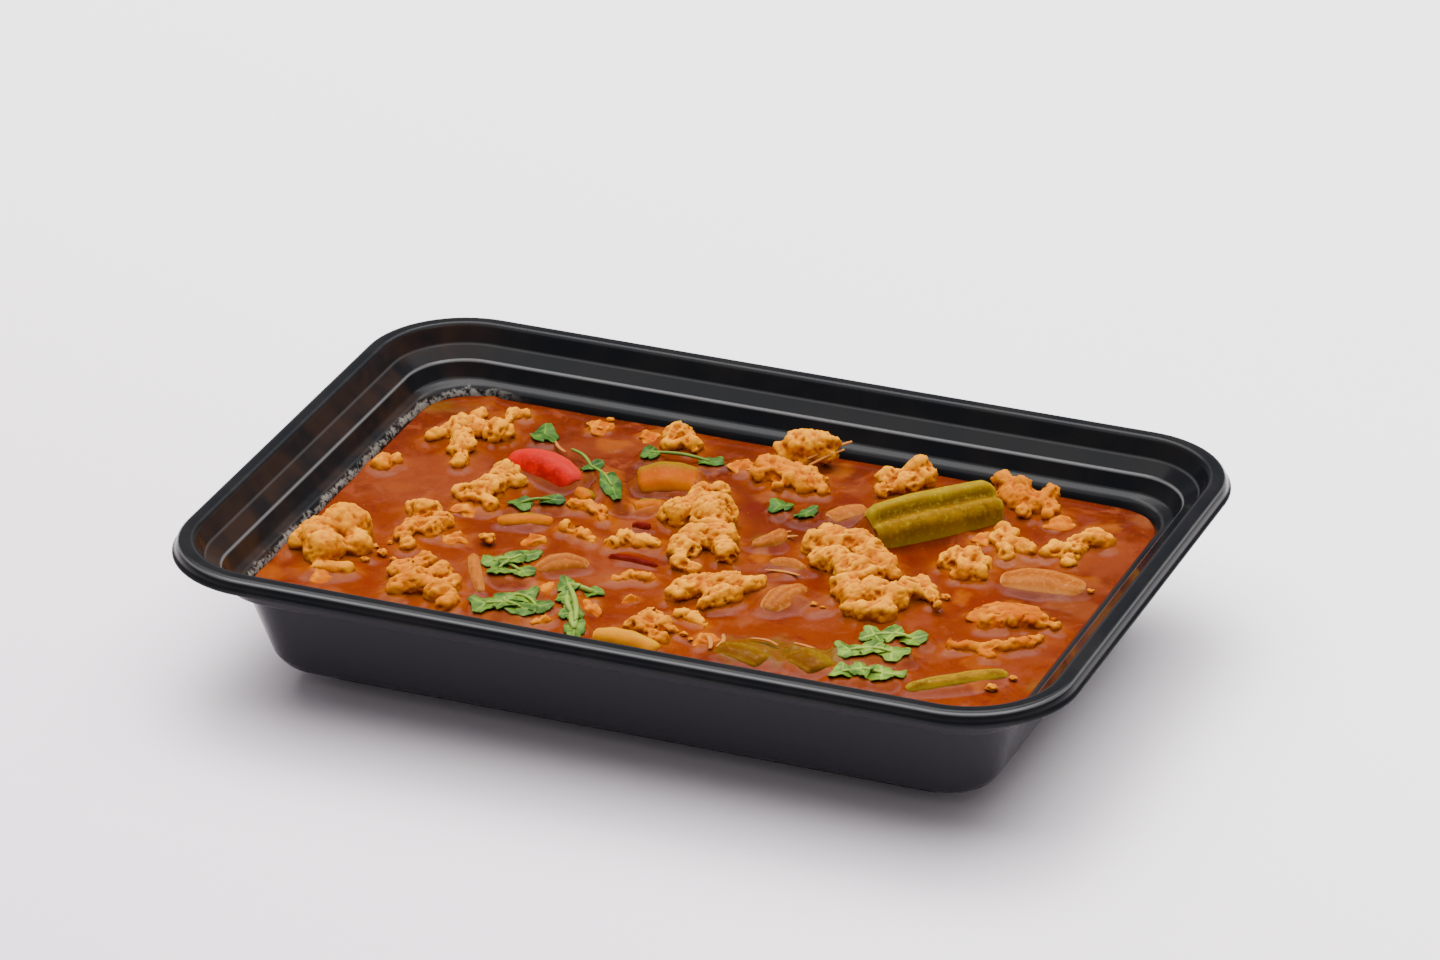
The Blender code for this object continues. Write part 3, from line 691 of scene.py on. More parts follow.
@dataclass
class Tray:
    """The black tray: a foot, sloping walls, two ledges for a lid, a flat rim and a lip."""

    length: float = 222.0
    width: float = 154.6
    wall: float = 0.8
    lip_corner: float = 26.3
    body_corners: tuple[Point, ...] = ((12.3, 14.0), (16.0, 14.0), (21.0, 12.0), (31.0, 6.0))
    corner_steps: int = 16
    inside: tuple[Point, ...] = (
        (2.4, 38.5), (4.9, 38.5), (5.7, 37.9), (7.7, 33.9), (11.5, 31.2), (13.3, 27.3),
        (15.4, 26.8), (16.5, 25.6), (21.5, 8.3), (22.9, 6.3), (26.6, 5.2), (31.2, 4.5),
        (32.2, 0.8), (33.6, 0.8))
    lip: tuple[Point, ...] = (
        (1.8, 36.9), (1.7, 35.5), (0.4, 35.0), (0.0, 35.4), (0.9, 36.1), (1.0, 37.1), (1.5, 38.1))
    edge_round: float = 0.5
    edge_share: float = 0.45
    # faces whose painted highlight is stronger than this take the glossier edge finish
    highlight_from: float = 0.3
    # profile corners that carry a painted highlight line, and how strongly
    edge_highlights: tuple[Triple, ...] = (
        (1.5, 38.1, 0.6), (4.9, 38.5, 0.08), (11.5, 31.2, 1.0), (7.7, 33.9, 0.28),
        (15.4, 26.8, 0.10), (0.0, 35.4, 0.20))

    def corner(self, inset: float) -> float:
        """Corner radius at an inset.

        Args:
            inset: Distance in from the lip's edge.

        Returns:
            The radius.
        """
        insets, radii = zip(*self.body_corners)
        if inset < insets[0]:
            return max(self.lip_corner - inset, radii[0])
        return float(np.interp(inset, insets, radii))

    def ring(self, inset: float, height: float) -> list[Vector]:
        """Points of the rounded rectangle at an inset and a height.

        Args:
            inset: Distance in from the lip's edge.
            height: Height above the table.

        Returns:
            The points, counter-clockwise.
        """
        radius = self.corner(inset)
        half = (self.length / 2 - inset - radius, self.width / 2 - inset - radius)
        points = []
        for quarter, signs in enumerate(((1, 1), (-1, 1), (-1, -1), (1, -1))):
            for step in range(self.corner_steps + 1):
                turn = math.radians(90 * quarter + 90 * step / self.corner_steps)
                points.append(Vector((signs[0] * half[0] + radius * math.cos(turn),
                                      signs[1] * half[1] + radius * math.sin(turn), height)) * MM)
        return points

    def offset(self, distance: float) -> list[Point]:
        """The inside profile moved outwards by a distance, with mitred corners.

        Args:
            distance: How far it moves.

        Returns:
            The moved profile.
        """
        moved = []
        for index, (inset, height) in enumerate(self.inside):
            normals = []
            for first, second in ((index - 1, index), (index, index + 1)):
                if first >= 0 and second < len(self.inside):
                    run = Vector(self.inside[second]) - Vector(self.inside[first])
                    normals.append(Vector((run.y, -run.x)).normalized())
            mitre = sum(normals, Vector((0, 0))).normalized()
            reach = distance / mitre.dot(normals[0])
            moved.append((inset + mitre.x * reach, height + mitre.y * reach))
        return moved

    def inset_at(self, height: float) -> float:
        """Inset of the inner wall, between its lower ledge and the floor, at a height."""
        rows = sorted((z, s) for s, z in self.inside[6:10])
        return float(np.interp(height, [row[0] for row in rows], [row[1] for row in rows]))

    def filleted(self, profile: Sequence[Point]) -> list[Triple]:
        """The profile with its corners rounded.

        Args:
            profile: Points of inset and height.

        Returns:
            Points of inset, height and how strongly the painted highlight shows on that edge.
        """
        shares = {(inset, height): share for inset, height, share in self.edge_highlights}
        points = [(*profile[0], 0.0)]
        for before, corner, after in zip(profile, profile[1:], profile[2:]):
            middle = Vector(corner)
            ends = [middle.lerp(end, min(self.edge_share, self.edge_round / (end - middle).length))
                    for end in (Vector(before), Vector(after))]
            round_off = middle * 0.5 + (ends[0] + ends[1]) * 0.25
            points += [(*ends[0], 0.0), (*round_off, shares.get(tuple(corner), 0.0)), (*ends[1], 0.0)]
        return [*points, (*profile[-1], 0.0)]

    def build(self) -> Piece:
        """Extrudes the rounded profile round the tray.

        Returns:
            The tray.
        """
        outer = [*self.offset(self.wall)[::-1], *self.lip]
        profile = self.filleted([*outer, *self.inside])
        rim_end = 3 * len(outer) + 4
        build = bmesh.new()
        inner, edges = layers_of(build, "inside", "edge")
        rings = swept(build, [self.ring(inset, height) for inset, height, _ in profile])
        for index, (ring, point) in enumerate(zip(rings, profile)):
            for vertex in ring:
                # the edge layer holds how strongly the painted highlight shows
                vertex[inner], vertex[edges] = float(index > rim_end), point[2]
        bmesh.ops.recalc_face_normals(build, faces=build.faces)
        tray = finished("tray_shell", build, PLASTIC, "black_plastic")
        tray.data.materials.append(EDGES.material())
        shares = np.zeros(len(tray.data.vertices))
        tray.data.attributes["edge"].data.foreach_get("value", shares)
        for face in tray.data.polygons:
            face.material_index = int(max(shares[index] for index in face.vertices) > self.highlight_from)
        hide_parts("tray")
        return tray


# Chicken


@dataclass
class Chicken:
    """The pieces of fried chicken, grown from the solids with folds, knobs and crumbs."""

    voxel: float = 0.5
    fold_depth: float = 0.85
    fold_size: float = 4.2
    knob_depth: float = 0.38
    knob_size: float = 2.2
    crumb_depth: float = 0.30
    crumb_size: float = 0.8
    swell: float = 0.25
    valley_rounds: int = 16
    valley_depth: float = 0.26
    fine_fold_share: float = 0.6
    fine_fold_size: float = 0.4
    relief_heights: Point = (-0.6, 0.8)
    soak_size: float = 5.0
    soak_share: float = 0.95
    soak_top: float = 2.6
    soak_full: float = 0.2
    patch_share: float = 0.5
    patch_range: Point = (0.15, 0.5)
    coat_range: Point = (0.45, 0.0)
    grain: Triple = (0.55, 1.15, 1.0)
    seed: float = 3.7
    calmer: tuple[tuple[str, float], ...] = (
        ("chicken_round", 0.6), ("chicken_biggest", 0.75), ("chicken_far_back", 0.7))
    coated: tuple[tuple[str, float], ...] = (
        ("chicken_orange_dome", 1.0), ("chicken_orange_row", 0.9), ("chicken_back_crinkled", 0.6),
        ("chicken_front_left", 0.5), ("chicken_front_mid", 0.5), ("chicken_mid_left_lower", 0.4),
        ("chicken_far_right", 0.6), ("chicken_low_lumps", 0.5), ("chicken_small_left", 0.5))

    def nodes(self) -> list[str]:
        """The CAD nodes that are chicken."""
        return sorted(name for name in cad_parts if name.startswith("chicken"))

    def valleys(self, mesh: bpy.types.Mesh) -> tuple[np.ndarray, np.ndarray]:
        """How deep in a fold and how high on a crest each vertex lies.

        Args:
            mesh: The piece with its relief.

        Returns:
            Two values of 0 to 1 for each vertex.
        """
        places = np.empty(len(mesh.vertices) * 3)
        mesh.vertices.foreach_get("co", places)
        normals = np.array([vertex.normal for vertex in mesh.vertices])
        ends = np.empty(len(mesh.edges) * 2, dtype=int)
        mesh.edges.foreach_get("vertices", ends)
        places, (first, second) = places.reshape(-1, 3), ends.reshape(-1, 2).T
        count = np.bincount(ends, minlength=len(places)).clip(1)[:, None]

        def spread(values: np.ndarray) -> np.ndarray:
            """Mean of each vertex's neighbours.

            Args:
                values: A row for each vertex.

            Returns:
                The means.
            """
            total = np.zeros_like(values)
            np.add.at(total, first, values[second])
            np.add.at(total, second, values[first])
            return total / count

        wide = places
        for _ in range(self.valley_rounds):
            wide = spread(wide) * 0.5 + wide * 0.5
        depth = ((wide - places) * normals).sum(axis=1) / MM
        fold = np.clip(depth / self.valley_depth, 0, 1) ** 0.8
        return fold, np.clip(0.1 - depth / self.valley_depth, 0, 1)

    def skin(self, node: str, turn: int) -> bpy.types.Mesh:
        """One piece with its relief.

        Args:
            node: The CAD node.
            turn: Number of the piece, which shifts its pattern.

        Returns:
            The mesh, with its folds and stains stored.
        """
        mesh = remeshed(node_copy(node), self.voxel, 4, node)
        shift = self.seed * (turn + 1)
        calm, coat = dict(self.calmer).get(node, 1.0), dict(self.coated).get(node, 0.0)
        grain = Matrix.Diagonal(self.grain) @ Matrix.Rotation(shift, 3, "Z")
        moves, stains = [], []
        for vertex in mesh.vertices:
            place, along = vertex.co, grain @ vertex.co
            fold = ridges(along, self.fold_size, shift)
            fine = ridges(along, self.fold_size * self.fine_fold_size, shift + 5)
            fold += self.fine_fold_share * (fine - 0.5)
            knob = turbulence(place, self.knob_size, 2, shift)
            crumb = turbulence(place, self.crumb_size, 2, shift * 2)
            height = place.z / MM - SAUCE_LEVEL
            move = (fold - 0.5) * self.fold_depth + knob * self.knob_depth + crumb * self.crumb_depth
            moves.append(move * calm * smooth_step(*self.relief_heights, height) + self.swell)
            soak = turbulence(place, self.soak_size, 2, shift + 9)
            line = self.soak_top + soak * self.soak_top
            stains.append(max(self.soak_share * smooth_step(line, self.soak_full, height),
                              self.patch_share * smooth_step(*self.patch_range, soak),
                              coat * smooth_step(*self.coat_range, soak)))
        for vertex, move in zip(mesh.vertices, moves):
            vertex.co += vertex.normal * move * MM
        # fold and crest drive the batter's painted shade in the valleys and painted highlight on the crests
        for name, values in zip(("fold", "crest"), self.valleys(mesh)):
            write_attribute(mesh, name, values)
        write_attribute(mesh, "stain", stains)
        return mesh

    def build(self) -> list[Piece]:
        """Builds every piece.

        Returns:
            The pieces.
        """
        pieces = []
        for turn, node in enumerate(self.nodes()):
            name = "batter_" + node.removeprefix("chicken_")
            piece = placed(name, self.skin(node, turn), BATTER)
            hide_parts(node)
            pieces.append(piece)
        return pieces


# Vegetables


@dataclass
class Slice:
    """A curved slice: a crowned band swept along its path, with round edges and a few ribs."""

    node: str
    kind: Vegetable
    path: Path
    width: float
    thickness: float
    crown: float
    taper: float
    roll: float
    ribs: int = 0
    rib_depth: float = 0.0
    wobble: float = 0.25
    sink: float = 0.25
    steps: int = 30
    columns: int = 14
    end_taper: float = 0.12
    edge_thickness: float = 0.12
    tip_sharpness: float = 14
    tip_thickness: float = 0.35
    tip_width: float = 0.72
    rim_across: Point = (0.72, 0.98)
    rim_ends: Point = (0.06, 0.0)

    def line(self) -> list[Vector]:
        """The middle line: a curve through the path's three points.

        Returns:
            Its points.
        """
        start, middle, end = (Vector(point) for point in self.path)
        control = middle * 2 - (start + end) / 2
        shares = [step / self.steps for step in range(self.steps + 1)]
        return [start * (1 - t) ** 2 + control * 2 * t * (1 - t) + end * t ** 2 for t in shares]

    def section(self, place: Vector, ahead: Vector, share: float,
                seed: float) -> list[tuple[Vector, float, float, float]]:
        """One closed cross-section.

        Args:
            place: Its middle, in millimetres above the sauce.
            ahead: Direction of the slice.
            share: Place along the slice, 0 to 1.
            seed: Shifts the unevenness.

        Returns:
            Points round the section, each with how near it is to the rim, how deep in a groove and
            how far across.
        """
        side = UP.cross(ahead).normalized()
        side = Matrix.Rotation(math.radians(self.roll), 3, ahead) @ side
        up = ahead.cross(side)
        bow = math.sin(math.pi * (self.end_taper + (1 - 2 * self.end_taper) * share))
        tip = min(1.0, math.sqrt(max(1e-4, min(share, 1 - share) * self.tip_sharpness)))
        fade = (self.taper + (1 - self.taper) * bow) * (self.tip_width + (1 - self.tip_width) * tip)
        thick = self.thickness / 2 * (self.tip_thickness + (1 - self.tip_thickness) * tip)
        over, under = [], []
        for column in range(self.columns + 1):
            across = math.cos(math.pi * column / self.columns)
            swollen = math.sqrt(max(0.0, 1 - across ** 4))
            half = thick * (self.edge_thickness + (1 - self.edge_thickness) * swollen)
            uneven = noise.noise(Vector((share * 5 + seed, across * 1.3, seed))) * self.wobble
            groove = (0.5 + 0.5 * math.cos(math.pi * self.ribs * across)) ** 2 if self.ribs else 0.0
            rib = self.rib_depth * (1 - 2 * groove)
            lift = self.crown * fade * (1 - across ** 2) + uneven
            middle = place + side * self.width / 2 * fade * across * (1 + 0.5 * uneven / self.width)
            middle += up * lift
            rim = max(smooth_step(*self.rim_across, abs(across)),
                      smooth_step(*self.rim_ends, min(share, 1 - share)))
            # the groove value paints shade into the grooves
            over.append((middle + up * (half + rib), rim, groove * (1 - rim), 0.5 + 0.5 * across))
            under.append((middle - up * (half + self.sink), rim, 0.0, 0.5 + 0.5 * across))
        return over + under[::-1]

    def build(self) -> Piece:
        """Sweeps the section along the line.

        Returns:
            The slice.
        """
        line = self.line()
        seed = sum(self.path[0]) * 0.37
        sections = []
        for index, place in enumerate(line):
            ahead = (line[min(index + 1, self.steps)] - line[max(index - 1, 0)]).normalized()
            sections.append(self.section(place, ahead, index / self.steps, seed))
        build = bmesh.new()
        rims, grooves, fars = layers_of(build, "rim", "groove", "far")
        rings = swept(build, [[over_sauce(*point[0]) for point in points] for points in sections])
        for ring, points in zip(rings, sections):
            for vertex, point in zip(ring, points):
                vertex[rims], vertex[grooves], vertex[fars] = point[1:]
        bmesh.ops.recalc_face_normals(build, faces=build.faces)
        piece = finished("slice_" + self.node, build, self.kind.finish, self.kind.slot)
        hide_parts(self.node)
        return piece


SLICES = (
    Slice("pepper_red", Vegetable.RED, ((-62.5, 28.2, 0.7), (-52.5, 26.3, 2.5), (-42.8, 21.2, 1.3)),
          9, 1.1, 1.8, 0.55, 22),
    Slice("pepper_orange", Vegetable.ORANGE, ((-28.5, 27.8, 1.4), (-22, 30, 3.0), (-15.5, 32.6, 1.6)),
          9.5, 1.8, 1.6, 0.8, 20, 1, 0.25),
    Slice("pepper_orange_chip", Vegetable.ORANGE, ((-40.5, 18.8, 0.6), (-38.2, 17.6, 1.0), (-36, 15.8, 0.6)),
          4, 1.5, 0.9, 0.8, 0),
    Slice("pepper_orange_low", Vegetable.ORANGE, ((-25, 16.4, 0.5), (-22, 18, 1.1), (-19.6, 19.4, 0.5)),
          4.6, 1.5, 0.9, 0.8, 0),
    Slice("pepper_strip", Vegetable.ORANGE, ((-52.5, -2, 0.3), (-46, 1, 0.8), (-40.2, 2.6, 0.3)),
          4.6, 1.4, 0.8, 0.7, 0),
    Slice("pepper_yellow", Vegetable.YELLOW, ((-8.1, -48, 0.9), (-0.5, -47.8, 1.6), (8, -49.4, 0.7)),
          5, 1.6, 1.0, 0.75, 20),
    Slice("pepper_green_wedge", Vegetable.GREEN, ((33.2, 22.4, 3.0), (44, 33.5, 3.6), (55.5, 46, 3.4)),
          14.5, 3.4, 2.2, 0.85, 24, 2, 0.95, 0.4, 0.25, 44, 26),
    Slice("pepper_green_strip", Vegetable.GREEN, ((67.4, -45, 0.3), (76.6, -38, 1.0), (86, -29.6, 0.3)),
          4.6, 1.5, 0.9, 0.6, 0),
    Slice("pepper_olive_right", Vegetable.OLIVE, ((37.3, -39.6, 0.5), (42.3, -41.2, 1.1), (46.8, -44, 0.4)),
          8.6, 1.5, 1.0, 0.75, 0),
    Slice("pepper_olive_left", Vegetable.OLIVE, ((20.5, -42, 0.4), (27, -43.4, 0.9), (33, -45.2, 0.4)),
          7, 1.4, 0.9, 0.8, 0),
    Slice("chilli_dark", Vegetable.CHILLI, ((-21.6, 7.4, 0.4), (-19.6, 7.8, 0.8), (-17.6, 8.2, 0.4)),
          2.8, 1.2, 0.6, 0.5, 0),
    Slice("chilli_strip", Vegetable.CHILLI, ((-21, -8, 0.0), (-15.5, -8.6, 0.5), (-8.6, -9.2, 0.3)),
          3, 0.9, 0.6, 0.4, 0),
    Slice("onion_petal", Vegetable.ONION, ((-33.5, -22.5, 0.3), (-29.2, -17.8, 1.2), (-23.4, -15.6, 0.2)),
          6.8, 0.9, 1.5, 0.3, 18, 2, 0.12),
    Slice("onion_strip", Vegetable.ONION, ((-50, -21.2, 0.9), (-46.8, -28, 1.4), (-41.4, -36.8, 0.5)),
          3, 1.1, 0.7, 0.6, 0),
    Slice("onion_wedge", Vegetable.ONION, ((24, -21, 0.2), (25.5, -14.4, 1.1), (27.8, -7.6, 0.2)),
          7.6, 1.0, 1.5, 0.35, 10, 3, 0.14),
    Slice("onion_slice", Vegetable.ONION, ((15.8, 1.4, 0.3), (19.6, 2.4, 0.9), (24.2, 1.4, 0.3)),
          4.4, 1.1, 0.8, 0.5, 0),
    Slice("onion_crescent", Vegetable.ONION, ((8.4, 8.6, 0.5), (12.4, 11.6, 1.3), (12.2, 17.2, 0.5)),
          5, 1.1, 1.2, 0.45, 14, 2, 0.10),
    Slice("onion_pale", Vegetable.ONION, ((20.2, 28.2, 0.5), (23.2, 32, 1.1), (26.4, 35.4, 0.5)),
          6, 1.2, 0.9, 0.8, 0),
    Slice("onion_sunken", Vegetable.ONION, ((68.6, 13.8, 0.1), (78, 15.6, 1.0), (88.5, 15.8, 0.1)),
          11.5, 1.1, 1.5, 0.4, 0, 2, 0.10),
)


# Coriander


@dataclass
class Leaf:
    """One coriander leaf: a fan with toothed lobes, veins and a wavy blade."""

    x: float
    y: float
    height: float
    length: float
    width: float
    direction: float
    lobes: int = 3
    cells: int = 22
    wave: float = 0.55
    waist: float = 0.82
    lobe_reach: float = 0.33
    lobe_roundness: float = 0.6
    tooth_reach: float = 0.09
    ripples: float = 2.3
    curl: float = 0.5
    curl_scale: float = 0.55
    vein_depth: float = 0.16
    vein_sharpness: float = 7
    lowest: float = 0.25

    def outline(self, angle: float, seed: float) -> float:
        """Reach of the edge in a direction, as a share of half the length.

        Args:
            angle: Direction round the leaf in radians, 0 at the tip.
            seed: Makes each leaf its own.

        Returns:
            The reach, about 0.8 to 1.2.
        """
        lobe = 0.5 + 0.5 * math.cos(self.lobes * angle)
        teeth = 0.5 + 0.5 * math.cos(self.lobes * 3 * angle + seed)
        return self.waist + self.lobe_reach * lobe ** self.lobe_roundness + self.tooth_reach * teeth

    def add(self, build: Build, veins: bmesh.types.BMLayerItem) -> None:
        """Adds the leaf to a sprig.

        Args:
            build: The sprig's mesh.
            veins: Layer that holds how near a vein each vertex is.
        """
        seed = self.x * 1.3 + self.y * 0.7
        made = bmesh.ops.create_grid(build, x_segments=self.cells, y_segments=self.cells, size=1)
        tilt = math.radians(self.direction)
        for vertex in made["verts"]:
            u, v = vertex.co.x, vertex.co.y
            along, across = u * math.sqrt(1 - v * v / 2), v * math.sqrt(1 - u * u / 2)
            reach = math.hypot(along, across)
            angle = math.atan2(across, along)
            edge = self.outline(angle, seed)
            x = self.length / 2 * along * edge
            y = self.width / 2 * across * edge
            ripple = math.sin(self.ripples * angle + self.length) * reach ** 2 * self.wave
            curl = noise.noise(Vector((x * self.curl_scale, y * self.curl_scale, seed))) * self.curl * reach
            vein = max(0.0, 1 - abs(math.sin(self.lobes * angle / 2)) * self.vein_sharpness * (0.25 + reach))
            lift = self.height + ripple + curl - self.vein_depth * vein * (1 - reach)
            vertex[veins] = vein * (1 - 0.6 * reach)
            vertex.co = over_sauce(self.x + x * math.cos(tilt) - y * math.sin(tilt),
                                   self.y + x * math.sin(tilt) + y * math.cos(tilt), max(lift, self.lowest))


@dataclass
class Sprig:
    """A few leaves on one stem."""

    node: str
    leaves: tuple[Leaf, ...]
    bare_end: Triple | None = None
    finish: LeafFinish = LeafFinish("coriander_leaf")
    stem_radius: float = 0.42
    stem_steps: int = 10
    stem_vein: float = 0.8
    stem_bow: float = 0.05
    stem_rise: float = 0.35
    stem_end: float = 0.8
    thickness: float = 0.22

    def add_stem(self, build: Build, start: Vector, end: Vector) -> None:
        """Adds a bowed stem between two points above the sauce.

        Args:
            build: The sprig's mesh.
            start: First end.
            end: Second end.
        """
        run = end - start
        side = UP.cross(run).normalized()
        up = run.cross(side).normalized()
        loops = []
        for step in range(self.stem_steps + 1):
            share = step / self.stem_steps
            bow = math.sin(math.pi * share)
            centre = start + run * share + side * bow * run.length * self.stem_bow + UP * self.stem_rise * bow
            radius = self.stem_radius * (self.stem_end + (1 - self.stem_end) * bow)
            loops.append(thread_loop(centre, side * radius, up * radius))
        swept(build, loops)

    def build(self) -> list[Piece]:
        """Builds the leaves as thin sheets and the stem as a tube.

        Returns:
            The leaves, and the stem where there is one.
        """
        build = bmesh.new()
        veins, = layers_of(build, "vein")
        for leaf in self.leaves:
            leaf.add(build, veins)
        bmesh.ops.solidify(build, geom=list(build.faces), thickness=self.thickness * MM)
        bmesh.ops.recalc_face_normals(build, faces=build.faces)
        blades = finished("leaves_" + self.node, build, self.finish, "coriander")
        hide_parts(self.node)
        points = [Vector(self.bare_end)] if self.bare_end else []
        points += [Vector((leaf.x, leaf.y, leaf.height)) for leaf in self.leaves]
        if len(points) < 2:
            return [blades]
        build = bmesh.new()
        veins, = layers_of(build, "vein")
        for start, end in zip(points, points[1:]):
            self.add_stem(build, start, end)
        for vertex in build.verts:
            vertex[veins] = self.stem_vein
        bmesh.ops.recalc_face_normals(build, faces=build.faces)
        return [blades, finished("stem_" + self.node, build, self.finish, "coriander")]


MID_GREEN = LeafFinish("coriander_mid_green", (0.022, 0.058, 0.006), (0.095, 0.170, 0.016),
                       (0.250, 0.320, 0.050))
PALE_GREEN = LeafFinish("coriander_pale", (0.040, 0.085, 0.008), (0.150, 0.240, 0.022),
                        (0.330, 0.420, 0.080))
SPRIGS = (
    Sprig("coriander_back", (Leaf(-60.3, 44.6, 1.2, 9, 6, 110),)),
    Sprig("coriander_blade", (Leaf(-41.5, 29.1, 3.0, 6.5, 3.5, 60), Leaf(-32.5, 20.5, 3.3, 14, 4.6, -57)),
          (-50.4, 38.3, 1.6)),
    Sprig("coriander_mid", (Leaf(-49.8, 6, 2.4, 5.8, 5, 190), Leaf(-43.9, 10.2, 2.4, 5.8, 5, 20))),
    Sprig("coriander_top", (Leaf(-31.7, 42.8, 2.2, 6, 4.4, 100), Leaf(-17.3, 45, 1.4, 6, 4, 20))),
    Sprig("coriander_centre", (Leaf(7.2, 29, 1.6, 6.5, 5.5, 130),)),
    Sprig("coriander_centre_right", (Leaf(14.4, 27.4, 1.6, 7, 3.8, 70),)),
    Sprig("coriander_front_a", (Leaf(-41, -27, 2.4, 7.5, 5, 100), Leaf(-38.3, -18.4, 2.2, 7, 5.6, 30),
                                Leaf(-39.6, -22.6, 2.9, 6.4, 5.2, 60, 4),
                                Leaf(-44.0, -23.6, 2.2, 6, 5, 140, 4),
                                Leaf(-36.0, -26.4, 2.4, 6.4, 5, 20, 4)),
          None, MID_GREEN),
    Sprig("coriander_front_b", (Leaf(-36.8, -44.5, 2.4, 7.6, 7, 170, 4), Leaf(-28.2, -43.9, 2.6, 7, 6.4, -10),
                                Leaf(-32.4, -43.4, 3.1, 6.6, 6.2, 80, 4),
                                Leaf(-33.6, -40.4, 2.2, 5.6, 5, 100, 4),
                                Leaf(-30.2, -38.2, 2.6, 7.6, 6, 60, 4),
                                Leaf(-25.4, -41.6, 2.4, 7, 5.6, 30, 4)),
          None, MID_GREEN),
    Sprig("coriander_front_c", (Leaf(-16.4, -28.9, 1.6, 4.6, 4, 30), Leaf(-22.8, -28.7, 2.4, 6.6, 5, 120),
                                Leaf(-13.1, -47.9, 1.8, 8.6, 4.6, -70),
                                Leaf(-16.6, -41.4, 2.2, 8, 5, -60, 4),
                                Leaf(-20.6, -34.6, 2.3, 7.6, 4.6, 110, 4)),
          None, MID_GREEN, 0.7),
    Sprig("coriander_right_a", (Leaf(52.3, -25.6, 2.2, 7.4, 6.4, 130, 4), Leaf(60.5, -23.6, 1.8, 6.8, 6, 40),
                                Leaf(56.4, -24.4, 2.7, 6, 5, 80, 4)), None, PALE_GREEN),
    Sprig("coriander_right_b", (Leaf(50, -34.9, 2.4, 7.6, 6, 160, 4), Leaf(59, -32.6, 2.4, 7.6, 6.4, 20, 4),
                                Leaf(54.6, -33.4, 3.0, 6.4, 5.4, 70, 4)), None, PALE_GREEN),
    Sprig("coriander_right_c", (Leaf(51.6, -44.5, 1.8, 6, 5, 230), Leaf(60.2, -42.1, 1.9, 9.6, 6.4, 200, 4),
                                Leaf(55.8, -42.8, 2.5, 6, 5, 120, 4)), None, PALE_GREEN),
)


# Sauce


class Tint(Enum):
    """What colours a patch of sauce: something showing through, painted shade or a painted reflection; the
    value names the attribute its finish reads.
    """

    GOLD = "gold"
    PALE = "pale"
    OLIVE = "olive"
    RED = "red"
    HALO = "halo"
    HAZE = "haze"


@dataclass(frozen=True)
class Sunken:
    """A patch of sauce: something just under the surface, painted shade or a painted reflection; it colours
    the sauce and lifts it a little.
    """

    x: float
    y: float
    length: float
    width: float
    tint: Tint
    strength: float = 0.8
    rise: float = 0.4
    turn: float = 22.0
    ragged: float = 0.35
    fade: Point = (1.15, 0.45)

    @property
    def reach(self) -> float:
        """How far from its middle it may show."""
        return 0.75 * (self.length + self.width)

    def weight(self, x: float, y: float) -> float:
        """How much of it shows at a place.

        Args:
            x: Place along the tray.
            y: Place across the tray.

        Returns:
            The share, 0 to 1.
        """
        run, side = x - self.x, y - self.y
        if math.hypot(run, side) > self.reach:
            return 0.0
        tilt = math.radians(self.turn)
        u = run * math.cos(tilt) + side * math.sin(tilt)
        v = side * math.cos(tilt) - run * math.sin(tilt)
        warp = noise.noise(Vector((x * 0.24, y * 0.24, self.x))) * 1.2
        warp += noise.noise(Vector((x * 0.6, y * 0.6, self.y))) * 0.5
        reach = math.hypot(2 * u / self.length, 2 * v / self.width) + warp * self.ragged
        return smooth_step(*self.fade, reach)


